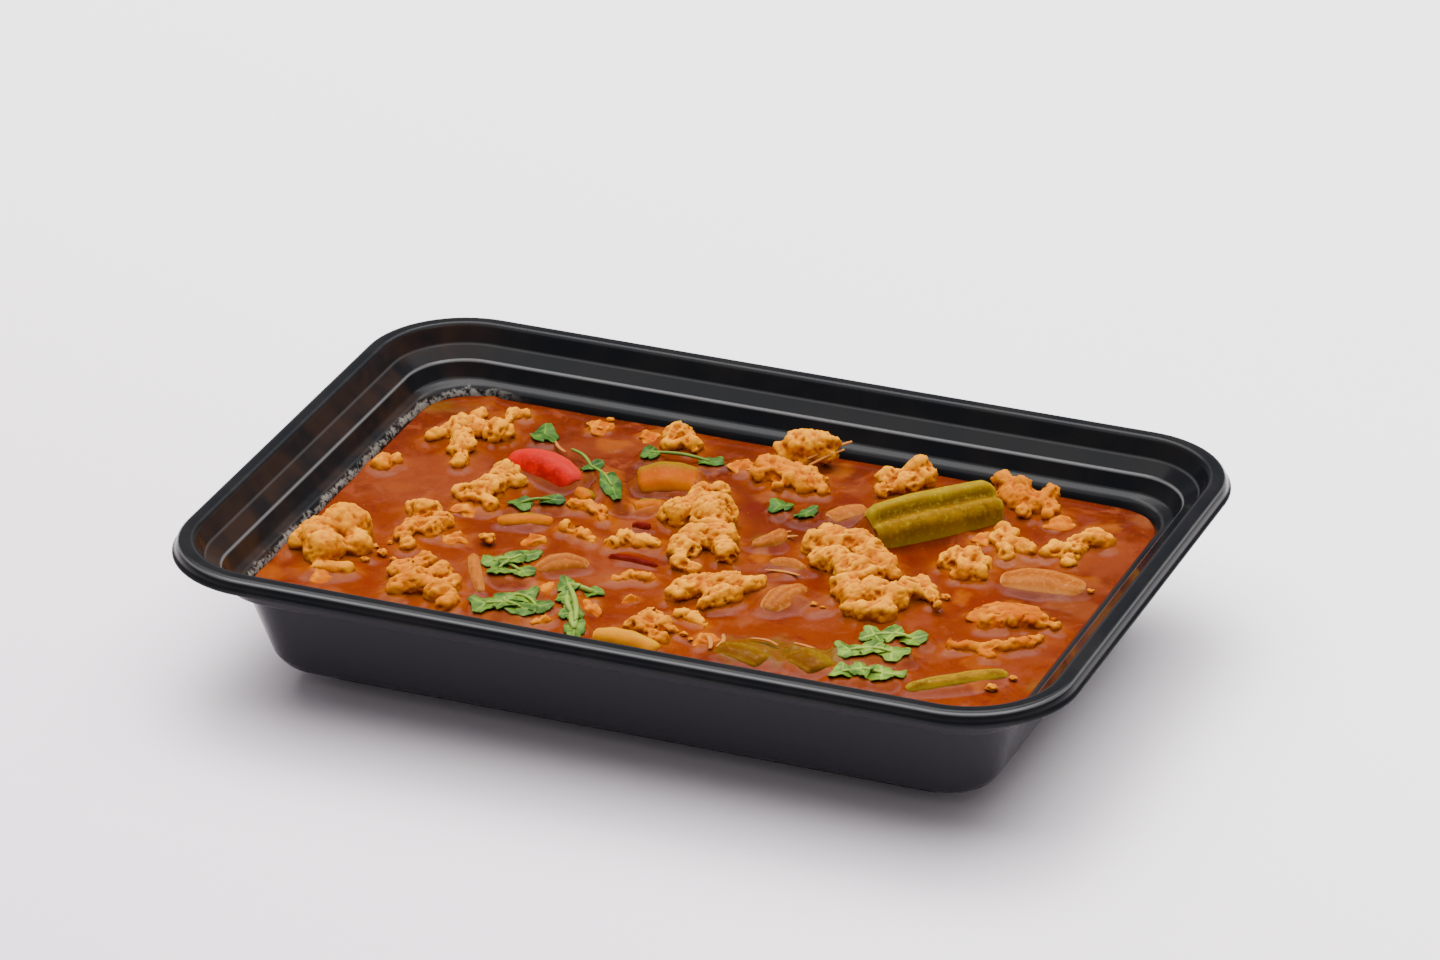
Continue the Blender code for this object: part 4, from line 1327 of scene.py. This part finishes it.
# Each row: x, y, length, width, strength, rise and, where it isn't the usual one, turn.
SUNKEN_ROWS = {
    # painted reflection of the sky: pale veils on the sauce
    Tint.HAZE: (
        (-76.0, 14.0, 44, 34, 0.8, 0.0), (-44.0, 46.0, 30, 14, 0.5, 0.0), (84.0, 34.0, 34, 26, 0.7, 0.0),
        (84.0, -14.0, 22, 34, 0.5, 0.0), (38.0, -20.0, 18, 12, 0.5, 0.0), (-22.0, -16.0, 22, 16, 0.5, 0.0)),
    Tint.GOLD: (
        (-89.9, 15.8, 10, 7, 0.7, 0.3), (-61.2, 3.0, 15, 13, 1.0, 0.7), (-81.5, 7.5, 11, 8, 0.35, 0.1),
        (-49.8, 54.1, 8, 9, 0.7, 0.7), (-36.8, 53.9, 8, 9, 0.7, 0.5), (-38.5, 29.8, 9, 10, 0.6, 0.5),
        (-22.1, 18.5, 12, 10, 1.0, 0.6), (-24.4, 7.4, 9, 8, 0.6, 0.3), (-9.2, 46.7, 8, 11, 0.8, 0.9),
        (57.8, 31.6, 9, 10, 0.8, 0.5), (71.0, 47.0, 9, 9, 0.7, 0.6), (-79.4, -40.2, 16, 12, 0.8, 0.5),
        (-91.4, -43.8, 8, 9, 0.5, 0.2), (-59.4, -44.3, 8, 8, 0.8, 0.4), (-40.4, -7.4, 7, 7, 0.8, 0.8),
        (-58.3, -13.4, 8, 9, 0.6, 0.4), (-28.0, -29.6, 9, 9, 0.7, 0.6), (-15.2, -34.3, 8, 12, 0.6, 0.9),
        (-7.9, -26.5, 6, 5, 0.7, 0.5), (15.8, -39.7, 8, 9, 0.6, 0.7), (31.4, -40.4, 4, 4, 0.9, 0.9),
        (75.0, -2.8, 20, 10, 0.9, 1.7)),
    # painted shade beside and under pieces
    Tint.HALO: (
        (-72.7, 27.9, 13, 12, 0.8, 0.0), (-67.7, -40.5, 10, 9, 1.0, 0.0), (11.0, -34.7, 9, 9, 0.9, 0.3),
        (64.1, 2.7, 18, 14, 1.0, 0.0)),
    # mostly green pepper showing through; the row at 10.5, 14.0 is painted shade under the onion crescent
    Tint.OLIVE: (
        (-89.1, 51.7, 18, 7, 0.5, 0.0), (10.5, 14.0, 10, 7, 0.8, 0.0), (29.1, -39.2, 24, 15, 1.0, 0.6),
        (41.9, -39.0, 20, 12, 1.0, 0.6), (96.5, -25.0, 5, 22, 0.5, 0.0, -20.0)),
    # partly red skin showing through, partly painted shade in the dips and under pieces
    Tint.RED: (
        (1.3, 27.8, 7, 8, 0.9, 0.0), (-50.3, -2.9, 15, 6, 0.35, 0.0), (13.4, -27.2, 18, 3.5, 0.6, -0.3),
        (28.5, 0.0, 5, 12, 0.8, -0.2), (-10.6, -6.7, 13, 5, 0.7, -0.2), (88.4, -16.1, 12, 6, 0.5, 0.0)),
    # partly onion showing through, partly a painted reflection of the sky (a pinkish veil)
    Tint.PALE: (
        (19.3, 46.4, 10, 8, 0.3, 0.1), (69.4, 24.0, 16, 10, 0.7, 0.4), (18.4, -12.3, 12, 14, 0.6, 0.5),
        (32.9, -13.6, 12, 13, 0.45, 0.8), (19.4, -3.6, 12, 6, 0.6, 0.4), (-0.9, -5.6, 6, 10, 0.9, 0.9),
        (65.3, -26.9, 11, 9, 0.3, 0.0), (90.7, 7.3, 10, 12, 0.35, 0.0)),
}
SUNKEN = tuple(Sunken(*row[:4], tint, *row[4:]) for tint, rows in SUNKEN_ROWS.items() for row in rows)


def scattered_bits(count: int = 150, seed: int = 11) -> tuple[Sunken, ...]:
    """Small patches all over the tray: bits of everything just under the surface and small painted reflections
    of the sky.

    Args:
        count: How many there are.
        seed: Fixes where they lie.

    Returns:
        The bits.
    """
    draw = random.Random(seed)
    # the second kind is a painted reflection of the sky
    kinds = ((Tint.GOLD, 0.75, 0.45), (Tint.HAZE, 0.8, 0.1), (Tint.RED, 0.7, 0.0),
             (Tint.PALE, 0.55, 0.3))
    bits = []
    for index in range(count):
        tint, strength, rise = kinds[index % len(kinds)]
        length = draw.uniform(4, 13)
        bits.append(Sunken(draw.uniform(-92, 92), draw.uniform(-58, 58), length,
                           length * draw.uniform(0.35, 0.8), tint, strength * draw.uniform(0.5, 1),
                           rise * draw.uniform(0.2, 1), draw.uniform(0, 180), 0.6))
    return tuple(bits)


def by_square(parts: Sequence[Sunken]) -> dict[tuple[int, int], list[Sunken]]:
    """The parts that reach into each square of the tray, to find them fast.

    Args:
        parts: The sunken parts.

    Returns:
        The parts of each square.
    """
    squares = defaultdict(list)
    for part in parts:
        spans = [range(int((middle - part.reach) // SQUARE), int((middle + part.reach) // SQUARE) + 1)
                 for middle in (part.x, part.y)]
        for square in product(*spans):
            squares[square].append(part)
    return squares


@dataclass
class Sauce:
    """The sauce: a wavy surface that climbs round each piece and over what lies sunken in it."""

    tray: Tray
    cell: float = 0.75
    reach_into_wall: float = 0.35
    climb: float = 1.1
    climb_run: float = 1.5
    wall_climb: float = 0.12
    shade_run: float = 3.4
    swell: float = 0.13
    mound_run: float = 1.9
    under_slice: float = 0.75
    under_leaf: float = -0.35
    shore_band: Point = (-1.0, 0.8)
    wall_run: float = 0.5
    swell_size: float = 16
    rough_size: float = 3.0
    gold_shore: float = 0.9
    gold_mound: float = 0.35
    gold_rise: Point = (0.5, 1.6)
    smooth_rounds: int = 3
    settle: float = 0.10
    wall_loops: tuple[Point, ...] = ((21.2, 8.9), (31.4, 5.6), (33.0, 1.3))

    def edge(self, inset: float) -> tuple[Vector, float]:
        """Half sizes to the corner centres, and the corner radius, of the wall at an inset."""
        radius = self.tray.corner(inset)
        return Vector((self.tray.length / 2 - inset - radius, self.tray.width / 2 - inset - radius)), radius

    def edge_distance(self, x: float, y: float) -> tuple[float, Vector]:
        """Distance in from the wall at the sauce's level, and the way out to it.

        Args:
            x: Place along the tray.
            y: Place across the tray.

        Returns:
            The distance, negative outside, and the outward direction.
        """
        half, radius = self.edge(self.tray.inset_at(SAUCE_LEVEL) - self.reach_into_wall)
        corner = Vector((abs(x) - half.x, abs(y) - half.y))
        outer = Vector((max(corner.x, 0.0), max(corner.y, 0.0)))
        if outer.length > 1e-9:
            way = Vector((math.copysign(outer.x, x), math.copysign(outer.y, y))).normalized()
        elif corner.x > corner.y:
            way = Vector((math.copysign(1.0, x), 0.0))
        else:
            way = Vector((0.0, math.copysign(1.0, y)))
        return radius - outer.length - min(max(corner.x, corner.y), 0.0), way

    def shore(self, pieces: Sequence[Piece]) -> KDTree:
        """Points of the pieces near the sauce's surface, for finding how close they are.

        Args:
            pieces: The pieces in the sauce.

        Returns:
            A tree of points in the plane of the surface, in millimetres.
        """
        low, high = self.shore_band
        return tree_of([(vertex.co.x / MM, vertex.co.y / MM, 0.0) for piece in pieces
                        for vertex in piece.data.vertices if low < vertex.co.z / MM - SAUCE_LEVEL < high])

    def undersides(self, slices: Sequence[Piece],
                   leaves: Sequence[Piece]) -> tuple[KDTree, list[float]]:
        """Where slices and leaves lie over the sauce, and how high it reaches under them.

        Args:
            slices: The slices, whose edges it laps over.
            leaves: The leaves, which lie on it.

        Returns:
            A tree of places in the plane, and the height at each place.
        """
        points, heights = [], []
        laps = [self.under_slice] * len(slices) + [self.under_leaf] * len(leaves)
        for piece, lap in zip([*slices, *leaves], laps):
            tree = BVHTree.FromPolygons([vertex.co for vertex in piece.data.vertices],
                                        [face.vertices for face in piece.data.polygons])
            xs, ys = zip(*((vertex.co.x / MM, vertex.co.y / MM) for vertex in piece.data.vertices))
            for x in np.arange(min(xs), max(xs), self.cell):
                for y in np.arange(min(ys), max(ys), self.cell):
                    hit = tree.ray_cast(Vector((x * MM, y * MM, 0.0)), UP)[0]
                    if hit and hit.z / MM > SAUCE_LEVEL + 0.1:
                        points.append((x, y, 0.0))
                        heights.append(hit.z / MM - SAUCE_LEVEL + lap)
        return tree_of(points), heights

    def build(self, chicken: Sequence[Piece], slices: Sequence[Piece],
              leaves: Sequence[Piece]) -> Piece:
        """Shapes the surface and closes it below.

        Args:
            chicken: The chicken pieces.
            slices: The slices.
            leaves: The leaves.

        Returns:
            The sauce.
        """
        hidden = by_square((*SUNKEN, *scattered_bits()))
        shore = self.shore(chicken)
        banks, heights = self.undersides(slices, leaves)
        half_x, half_y = self.tray.length / 2, self.tray.width / 2
        build = bmesh.new()
        tints = dict(zip(Tint, layers_of(build, *(tint.value for tint in Tint))))
        made = bmesh.ops.create_grid(build, x_segments=round(2 * half_x / self.cell),
                                     y_segments=round(2 * half_y / self.cell), size=1)
        outside, inner = [], []
        for vertex in made["verts"]:
            x, y = vertex.co.x * half_x, vertex.co.y * half_y
            depth, way = self.edge_distance(x, y)
            if depth < -1.6 * self.cell:
                outside.append(vertex)
                continue
            if depth < 0:
                x, y = x + way.x * depth, y + way.y * depth
                depth = 0.0
            else:
                inner.append(vertex)
            near = shore.find((x, y, 0.0))[2]
            rise = self.climb * math.exp(-near / self.climb_run)
            rise = max(rise, self.wall_climb * math.exp(-max(depth - self.reach_into_wall, 0) / self.wall_run))
            for _, index, away in banks.find_range((x, y, 0.0), self.mound_run * 2):
                rise = max(rise, heights[index] * math.exp(-(away / self.mound_run) ** 2))
            rise += self.swell * turbulence(Vector((x, y, 0.0)) * MM, self.swell_size, 2, 5.0)
            # painted shade on the sauce close round the chicken
            vertex[tints[Tint.HALO]] = math.exp(-near / self.shade_run)
            vertex[tints[Tint.GOLD]] = max(self.gold_mound * smooth_step(*self.gold_rise, rise),
                                           self.gold_shore * math.exp(-near / self.climb_run))
            for part in hidden[int(x // SQUARE), int(y // SQUARE)]:
                weight = part.weight(x, y)
                if weight > 0:
                    relief = turbulence(Vector((x, y, 0.0)) * MM, self.rough_size, 2, part.x)
                    rise += part.rise * weight * (1 + relief)
                    layer = tints[part.tint]
                    vertex[layer] = max(vertex[layer], part.strength * weight)
            vertex.co = over_sauce(x, y, rise - self.settle)
        bmesh.ops.delete(build, geom=outside, context="VERTS")
        for _ in range(self.smooth_rounds):
            bmesh.ops.smooth_vert(build, verts=inner, factor=0.5, use_axis_z=True)
        bmesh.ops.dissolve_degenerate(build, dist=0.02 * MM, edges=build.edges)
        self.close(build)
        sauce = finished("sauce_body", build, SAUCE, "sauce")
        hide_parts("sauce")
        return sauce

    def close(self, build: Build) -> None:
        """Extrudes the surface's edge down the wall and closes the bottom.

        Args:
            build: The surface.
        """
        top_half, _ = self.edge(self.tray.inset_at(SAUCE_LEVEL) - self.reach_into_wall)
        rims = [edge for edge in build.edges if edge.is_boundary]
        ways = {}
        for vertex in {vertex for edge in rims for vertex in edge.verts}:
            x, y = vertex.co.x / MM, vertex.co.y / MM
            along = Vector((max(-1.0, min(1.0, x / top_half.x)), max(-1.0, min(1.0, y / top_half.y))))
            ways[vertex] = (self.edge_distance(x, y)[1], along)
        for inset, height in self.wall_loops:
            made = bmesh.ops.extrude_edge_only(build, edges=rims)["geom"]
            half, radius = self.edge(inset)
            fresh = {}
            for vertex in (part for part in made if isinstance(part, bmesh.types.BMVert)):
                above = (edge.other_vert(vertex) for edge in vertex.link_edges)
                way, along = next(ways[other] for other in above if other in ways)
                vertex.co = Vector((along.x * half.x + way.x * radius,
                                    along.y * half.y + way.y * radius, height)) * MM
                fresh[vertex] = (way, along)
            ways = fresh
            rims = [part for part in made if isinstance(part, bmesh.types.BMEdge)]
        bmesh.ops.holes_fill(build, edges=rims)
        bmesh.ops.recalc_face_normals(build, faces=build.faces)


# Crumbs and shreds


@dataclass(frozen=True)
class Crumb:
    """One small bit of batter or fat that lies on the food."""

    x: float
    y: float
    height: float
    size: float


CRUMBS = (
    Crumb(-74.0, -24.6, 1.0, 1.6), Crumb(-70.7, -27.4, 1.4, 2.2), Crumb(-73.3, -31.6, 1.0, 1.8),
    Crumb(-71.4, -21.4, 1.0, 1.2), Crumb(-67.3, -28.9, 0.8, 1.4), Crumb(-50.4, -12.4, 2.2, 3.2),
    Crumb(85.3, -37.5, 1.0, 2.4), Crumb(88.2, -31.3, 0.9, 1.8), Crumb(83.6, -33.7, 0.8, 1.2),
    Crumb(-49.5, 52.6, 1.4, 1.6), Crumb(-48.7, 58.0, 1.3, 1.8), Crumb(-52.8, 54.3, 1.0, 1.2),
    Crumb(81.0, 17.8, 1.7, 1.5), Crumb(83.8, 16.3, 1.5, 1.3), Crumb(90.0, 15.7, 1.2, 1.4),
    Crumb(33.0, -14.6, 1.6, 1.4), Crumb(35.5, -15.2, 1.4, 1.0), Crumb(85.1, -14.2, 1.6, 2.0),
    Crumb(81.5, -16.6, 1.5, 1.8), Crumb(87.0, -11.0, 1.6, 1.6), Crumb(10.6, -39.4, 1.4, 1.4),
    Crumb(12.9, -41.2, 1.3, 1.0), Crumb(59.8, 0.0, 1.2, 2.0),
)


@dataclass
class CoatedLumps:
    """Bits of chicken that just break the surface, wholly coated in sauce."""

    smallest_rise: float = 0.4
    detail: int = 4
    spread: float = 0.80
    depth: float = 1.7
    above: float = 0.75
    bulge: float = 0.55
    bulge_scale: float = 1.3
    fold_size: float = 3.2
    fold_depth: float = 0.7
    knob_size: float = 1.7
    knob_depth: float = 0.6

    def build(self) -> Piece:
        """Flattened, folded lumps.

        Returns:
            The lumps as one piece.
        """
        build = bmesh.new()
        folds, crests, stains = layers_of(build, "fold", "crest", "stain")
        parts = [part for part in SUNKEN if part.tint is Tint.GOLD and part.rise >= self.smallest_rise]
        for part in parts:
            tilt = math.radians(part.turn)
            made = bmesh.ops.create_icosphere(build, subdivisions=self.detail, radius=1)
            for vertex in made["verts"]:
                way = vertex.co.copy()
                reach = 1 + self.bulge * noise.noise(way * self.bulge_scale + Vector((part.x, part.y, 0)))
                u = way.x * part.length / 2 * self.spread * reach
                v = way.y * part.width / 2 * self.spread * reach
                x = part.x + u * math.cos(tilt) - v * math.sin(tilt)
                y = part.y + u * math.sin(tilt) + v * math.cos(tilt)
                here = Vector((x, y, 0.0)) * MM
                relief = (ridges(here, self.fold_size, part.x) - 0.5) * self.fold_depth
                relief += turbulence(here, self.knob_size, 2, part.y) * self.knob_depth
                # fold and crest: the batter's painted shade in the dips and painted highlight on the tops
                vertex[folds] = smooth_step(0.05, -0.5, relief)
                vertex[crests] = smooth_step(0.0, 0.5, relief)
                vertex[stains] = 0.45 + 0.4 * smooth_step(0.5, -0.3, relief)
                height = part.rise + self.above + (way.z - 1) * self.depth + relief * max(way.z, 0.0)
                vertex.co = over_sauce(x, y, height)
        return finished("coated_lumps", build, BATTER, "chicken")


@dataclass(frozen=True)
class Shred:
    """One thin thread of onion or skin, its ends in x, y and height above the sauce."""

    start: Triple
    end: Triple
    radius: float = 0.45
    bow: float = 0.8


SHREDS = (
    Shred((15.5, -38.0, 1.2), (19.0, -44.0, 1.0), 0.5, 0.6),
    Shred((19.4, -37.0, 1.3), (20.0, -42.6, 1.0), 0.45, 0.8),
    Shred((5.6, 50.6, 3.6), (14.2, 58.0, 6.4), 0.5, 0.5),
    Shred((6.4, 49.0, 2.6), (13.2, 55.6, 5.2), 0.4, 0.4),
    Shred((-51.4, 36.6, 1.5), (-56.2, 41.8, 1.1), 0.35, 0.5),
    Shred((12.0, 8.4, 1.2), (16.8, 15.8, 1.4), 0.4, 1.4),
    Shred((10.4, 10.0, 1.0), (14.4, 17.6, 1.3), 0.35, 1.2),
    Shred((26.0, -36.4, 1.3), (33.0, -37.2, 1.2), 0.35, 1.0),
    Shred((36.0, -34.6, 1.2), (45.6, -38.2, 1.0), 0.35, 1.0),
    Shred((16.0, -2.4, 0.9), (24.6, -2.0, 0.8), 0.35, 0.6),
    Shred((1.6, 4.0, 1.6), (4.2, -3.0, 1.1), 0.4, 0.6),
)


@dataclass
class SmallBits:
    """All crumbs in one piece and all shreds in another."""

    crumbs: tuple[Crumb, ...] = CRUMBS
    shreds: tuple[Shred, ...] = SHREDS
    detail: int = 3
    steps: int = 12
    flatness: float = 0.7
    shred_rim: float = 0.8

    def build_crumbs(self) -> Piece:
        """Lumpy balls of batter.

        Returns:
            The crumbs.
        """
        build = bmesh.new()
        folds, crests, stains = layers_of(build, "fold", "crest", "stain")
        for crumb in self.crumbs:
            made = bmesh.ops.create_icosphere(build, subdivisions=self.detail, radius=1)
            for vertex in made["verts"]:
                bump = noise.noise(vertex.co * 1.4 + Vector((crumb.x, crumb.y, 0))) * 0.9
                bump += noise.noise(vertex.co * 3.3 + Vector((crumb.y, crumb.x, 0))) * 0.35
                grown = vertex.co * (1 + 0.5 * bump) * crumb.size / 2
                # fold and crest: the batter's painted shade in the dips and painted highlight on the tops
                vertex[folds] = smooth_step(0.0, -0.5, bump)
                vertex[crests] = smooth_step(0.0, 0.5, bump)
                vertex[stains] = 0.7 * smooth_step(0.3, -0.6, vertex.co.z)
                height = (crumb.height + grown.z) * self.flatness
                vertex.co = over_sauce(crumb.x + grown.x * 1.2, crumb.y + grown.y, height)
        return finished("crumbs", build, BATTER, "chicken")

    def build_shreds(self) -> Piece:
        """Thin bowed threads.

        Returns:
            The shreds.
        """
        build = bmesh.new()
        rims, = layers_of(build, "rim")
        for shred in self.shreds:
            start, run = Vector(shred.start), Vector(shred.end) - Vector(shred.start)
            side = UP.cross(run).normalized()
            up = run.cross(side).normalized()
            loops = []
            for step in range(self.steps + 1):
                share = step / self.steps
                centre = start + run * share + side * shred.bow * math.sin(math.pi * share)
                radius = shred.radius * (0.45 + 0.55 * math.sin(math.pi * (0.1 + 0.8 * share)))
                loops.append(thread_loop(centre, side * radius * 1.3, up * radius * self.flatness))
            swept(build, loops)
        for vertex in build.verts:
            vertex[rims] = self.shred_rim
        bmesh.ops.recalc_face_normals(build, faces=build.faces)
        return finished("onion_shreds", build, Vegetable.ONION.finish, "onion")


# Stage


@dataclass
class Studio:
    """The pale floor, the soft lights and the camera."""

    camera_place: Triple = (0.60203, -1.46521, 0.83106)
    heading: float = 22.214
    dip: float = 26.399
    lean: float = -0.241
    lens: float = 189.54
    sensor: float = 36.0
    floor_size: float = 9.0
    sky: Colour = (0.93, 0.92, 0.945)
    sky_strength: float = 0.50
    lamps: tuple[tuple[str, Triple, float, float, Colour], ...] = (
        ("key_box", (-0.9, 1.7, 3.8), 2.2, 140.0, (1.0, 0.995, 0.985)),
        ("top_box", (-0.2, 0.7, 4.0), 6.5, 780.0, (1.0, 0.998, 1.0)))
    lamp_target: Triple = (0, 0, 0.03)

    def floor(self) -> Piece:
        """Lays the floor.

        Returns:
            The floor.
        """
        build = bmesh.new()
        bmesh.ops.create_grid(build, x_segments=2, y_segments=2, size=self.floor_size / 2)
        floor = in_scene("floor", mesh_of("floor", build))
        floor.data.materials.append(FloorFinish("floor_paper").material())
        floor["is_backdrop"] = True
        return floor

    def lamp(self, name: str, place: Triple, size: float, power: float, colour: Colour) -> None:
        """Hangs one soft lamp that looks at the meal.

        Args:
            name: The lamp's name.
            place: Where it hangs, in metres.
            size: Side of its square face.
            power: Its power in watts.
            colour: Its colour.
        """
        light = bpy.data.lights.new(name, "AREA")
        light.size = size
        light.energy = power
        light.color = colour
        lamp = in_scene(name, light)
        lamp.location = place
        lamp.rotation_euler = (Vector(self.lamp_target) - Vector(place)).to_track_quat("-Z", "Y").to_euler()

    def camera(self) -> None:
        """Sets the camera to the photograph's view."""
        data = bpy.data.cameras.new("camera")
        data.lens = self.lens
        data.sensor_width = self.sensor
        data.clip_end = 50.0
        camera = in_scene("camera", data)
        turn = (Matrix.Rotation(math.radians(self.heading), 4, "Z")
                @ Matrix.Rotation(math.radians(90 - self.dip), 4, "X")
                @ Matrix.Rotation(math.radians(self.lean), 4, "Z"))
        camera.matrix_world = Matrix.Translation(self.camera_place) @ turn
        bpy.context.scene.camera = camera

    def build(self) -> None:
        """Sets up the whole stage."""
        self.floor()
        world = bpy.data.worlds.new("studio")
        world.use_nodes = True
        backdrop = world.node_tree.nodes["Background"]
        backdrop.inputs["Color"].default_value = (*self.sky, 1.0)
        backdrop.inputs["Strength"].default_value = self.sky_strength
        bpy.context.scene.world = world
        for lamp in self.lamps:
            self.lamp(*lamp)
        self.camera()


def main() -> None:
    """Builds the meal and its stage, and reports each piece."""
    logging.basicConfig(level=logging.INFO, format="%(name)s: %(message)s")
    tray = Tray()
    shell = tray.build()
    chicken = Chicken().build()
    slices = [part.build() for part in SLICES]
    leaves = [piece for sprig in SPRIGS for piece in sprig.build()]
    blades = [piece for piece in leaves if piece.name.startswith("leaves")]
    sauce = Sauce(tray).build(chicken, slices, blades)
    bits = SmallBits()
    lumps = CoatedLumps().build()
    for piece in (shell, *chicken, *slices, *leaves, sauce, lumps, bits.build_crumbs(), bits.build_shreds()):
        LOG.info("%s: %d faces", piece.name, len(piece.data.polygons))
    Studio().build()
    box = [[list(map(float, corner)) for corner in ends] for ends in (CAD_BOX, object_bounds())]
    {"cad": box[0], "visual": box[1]}


if __name__ == "__main__":
    main()
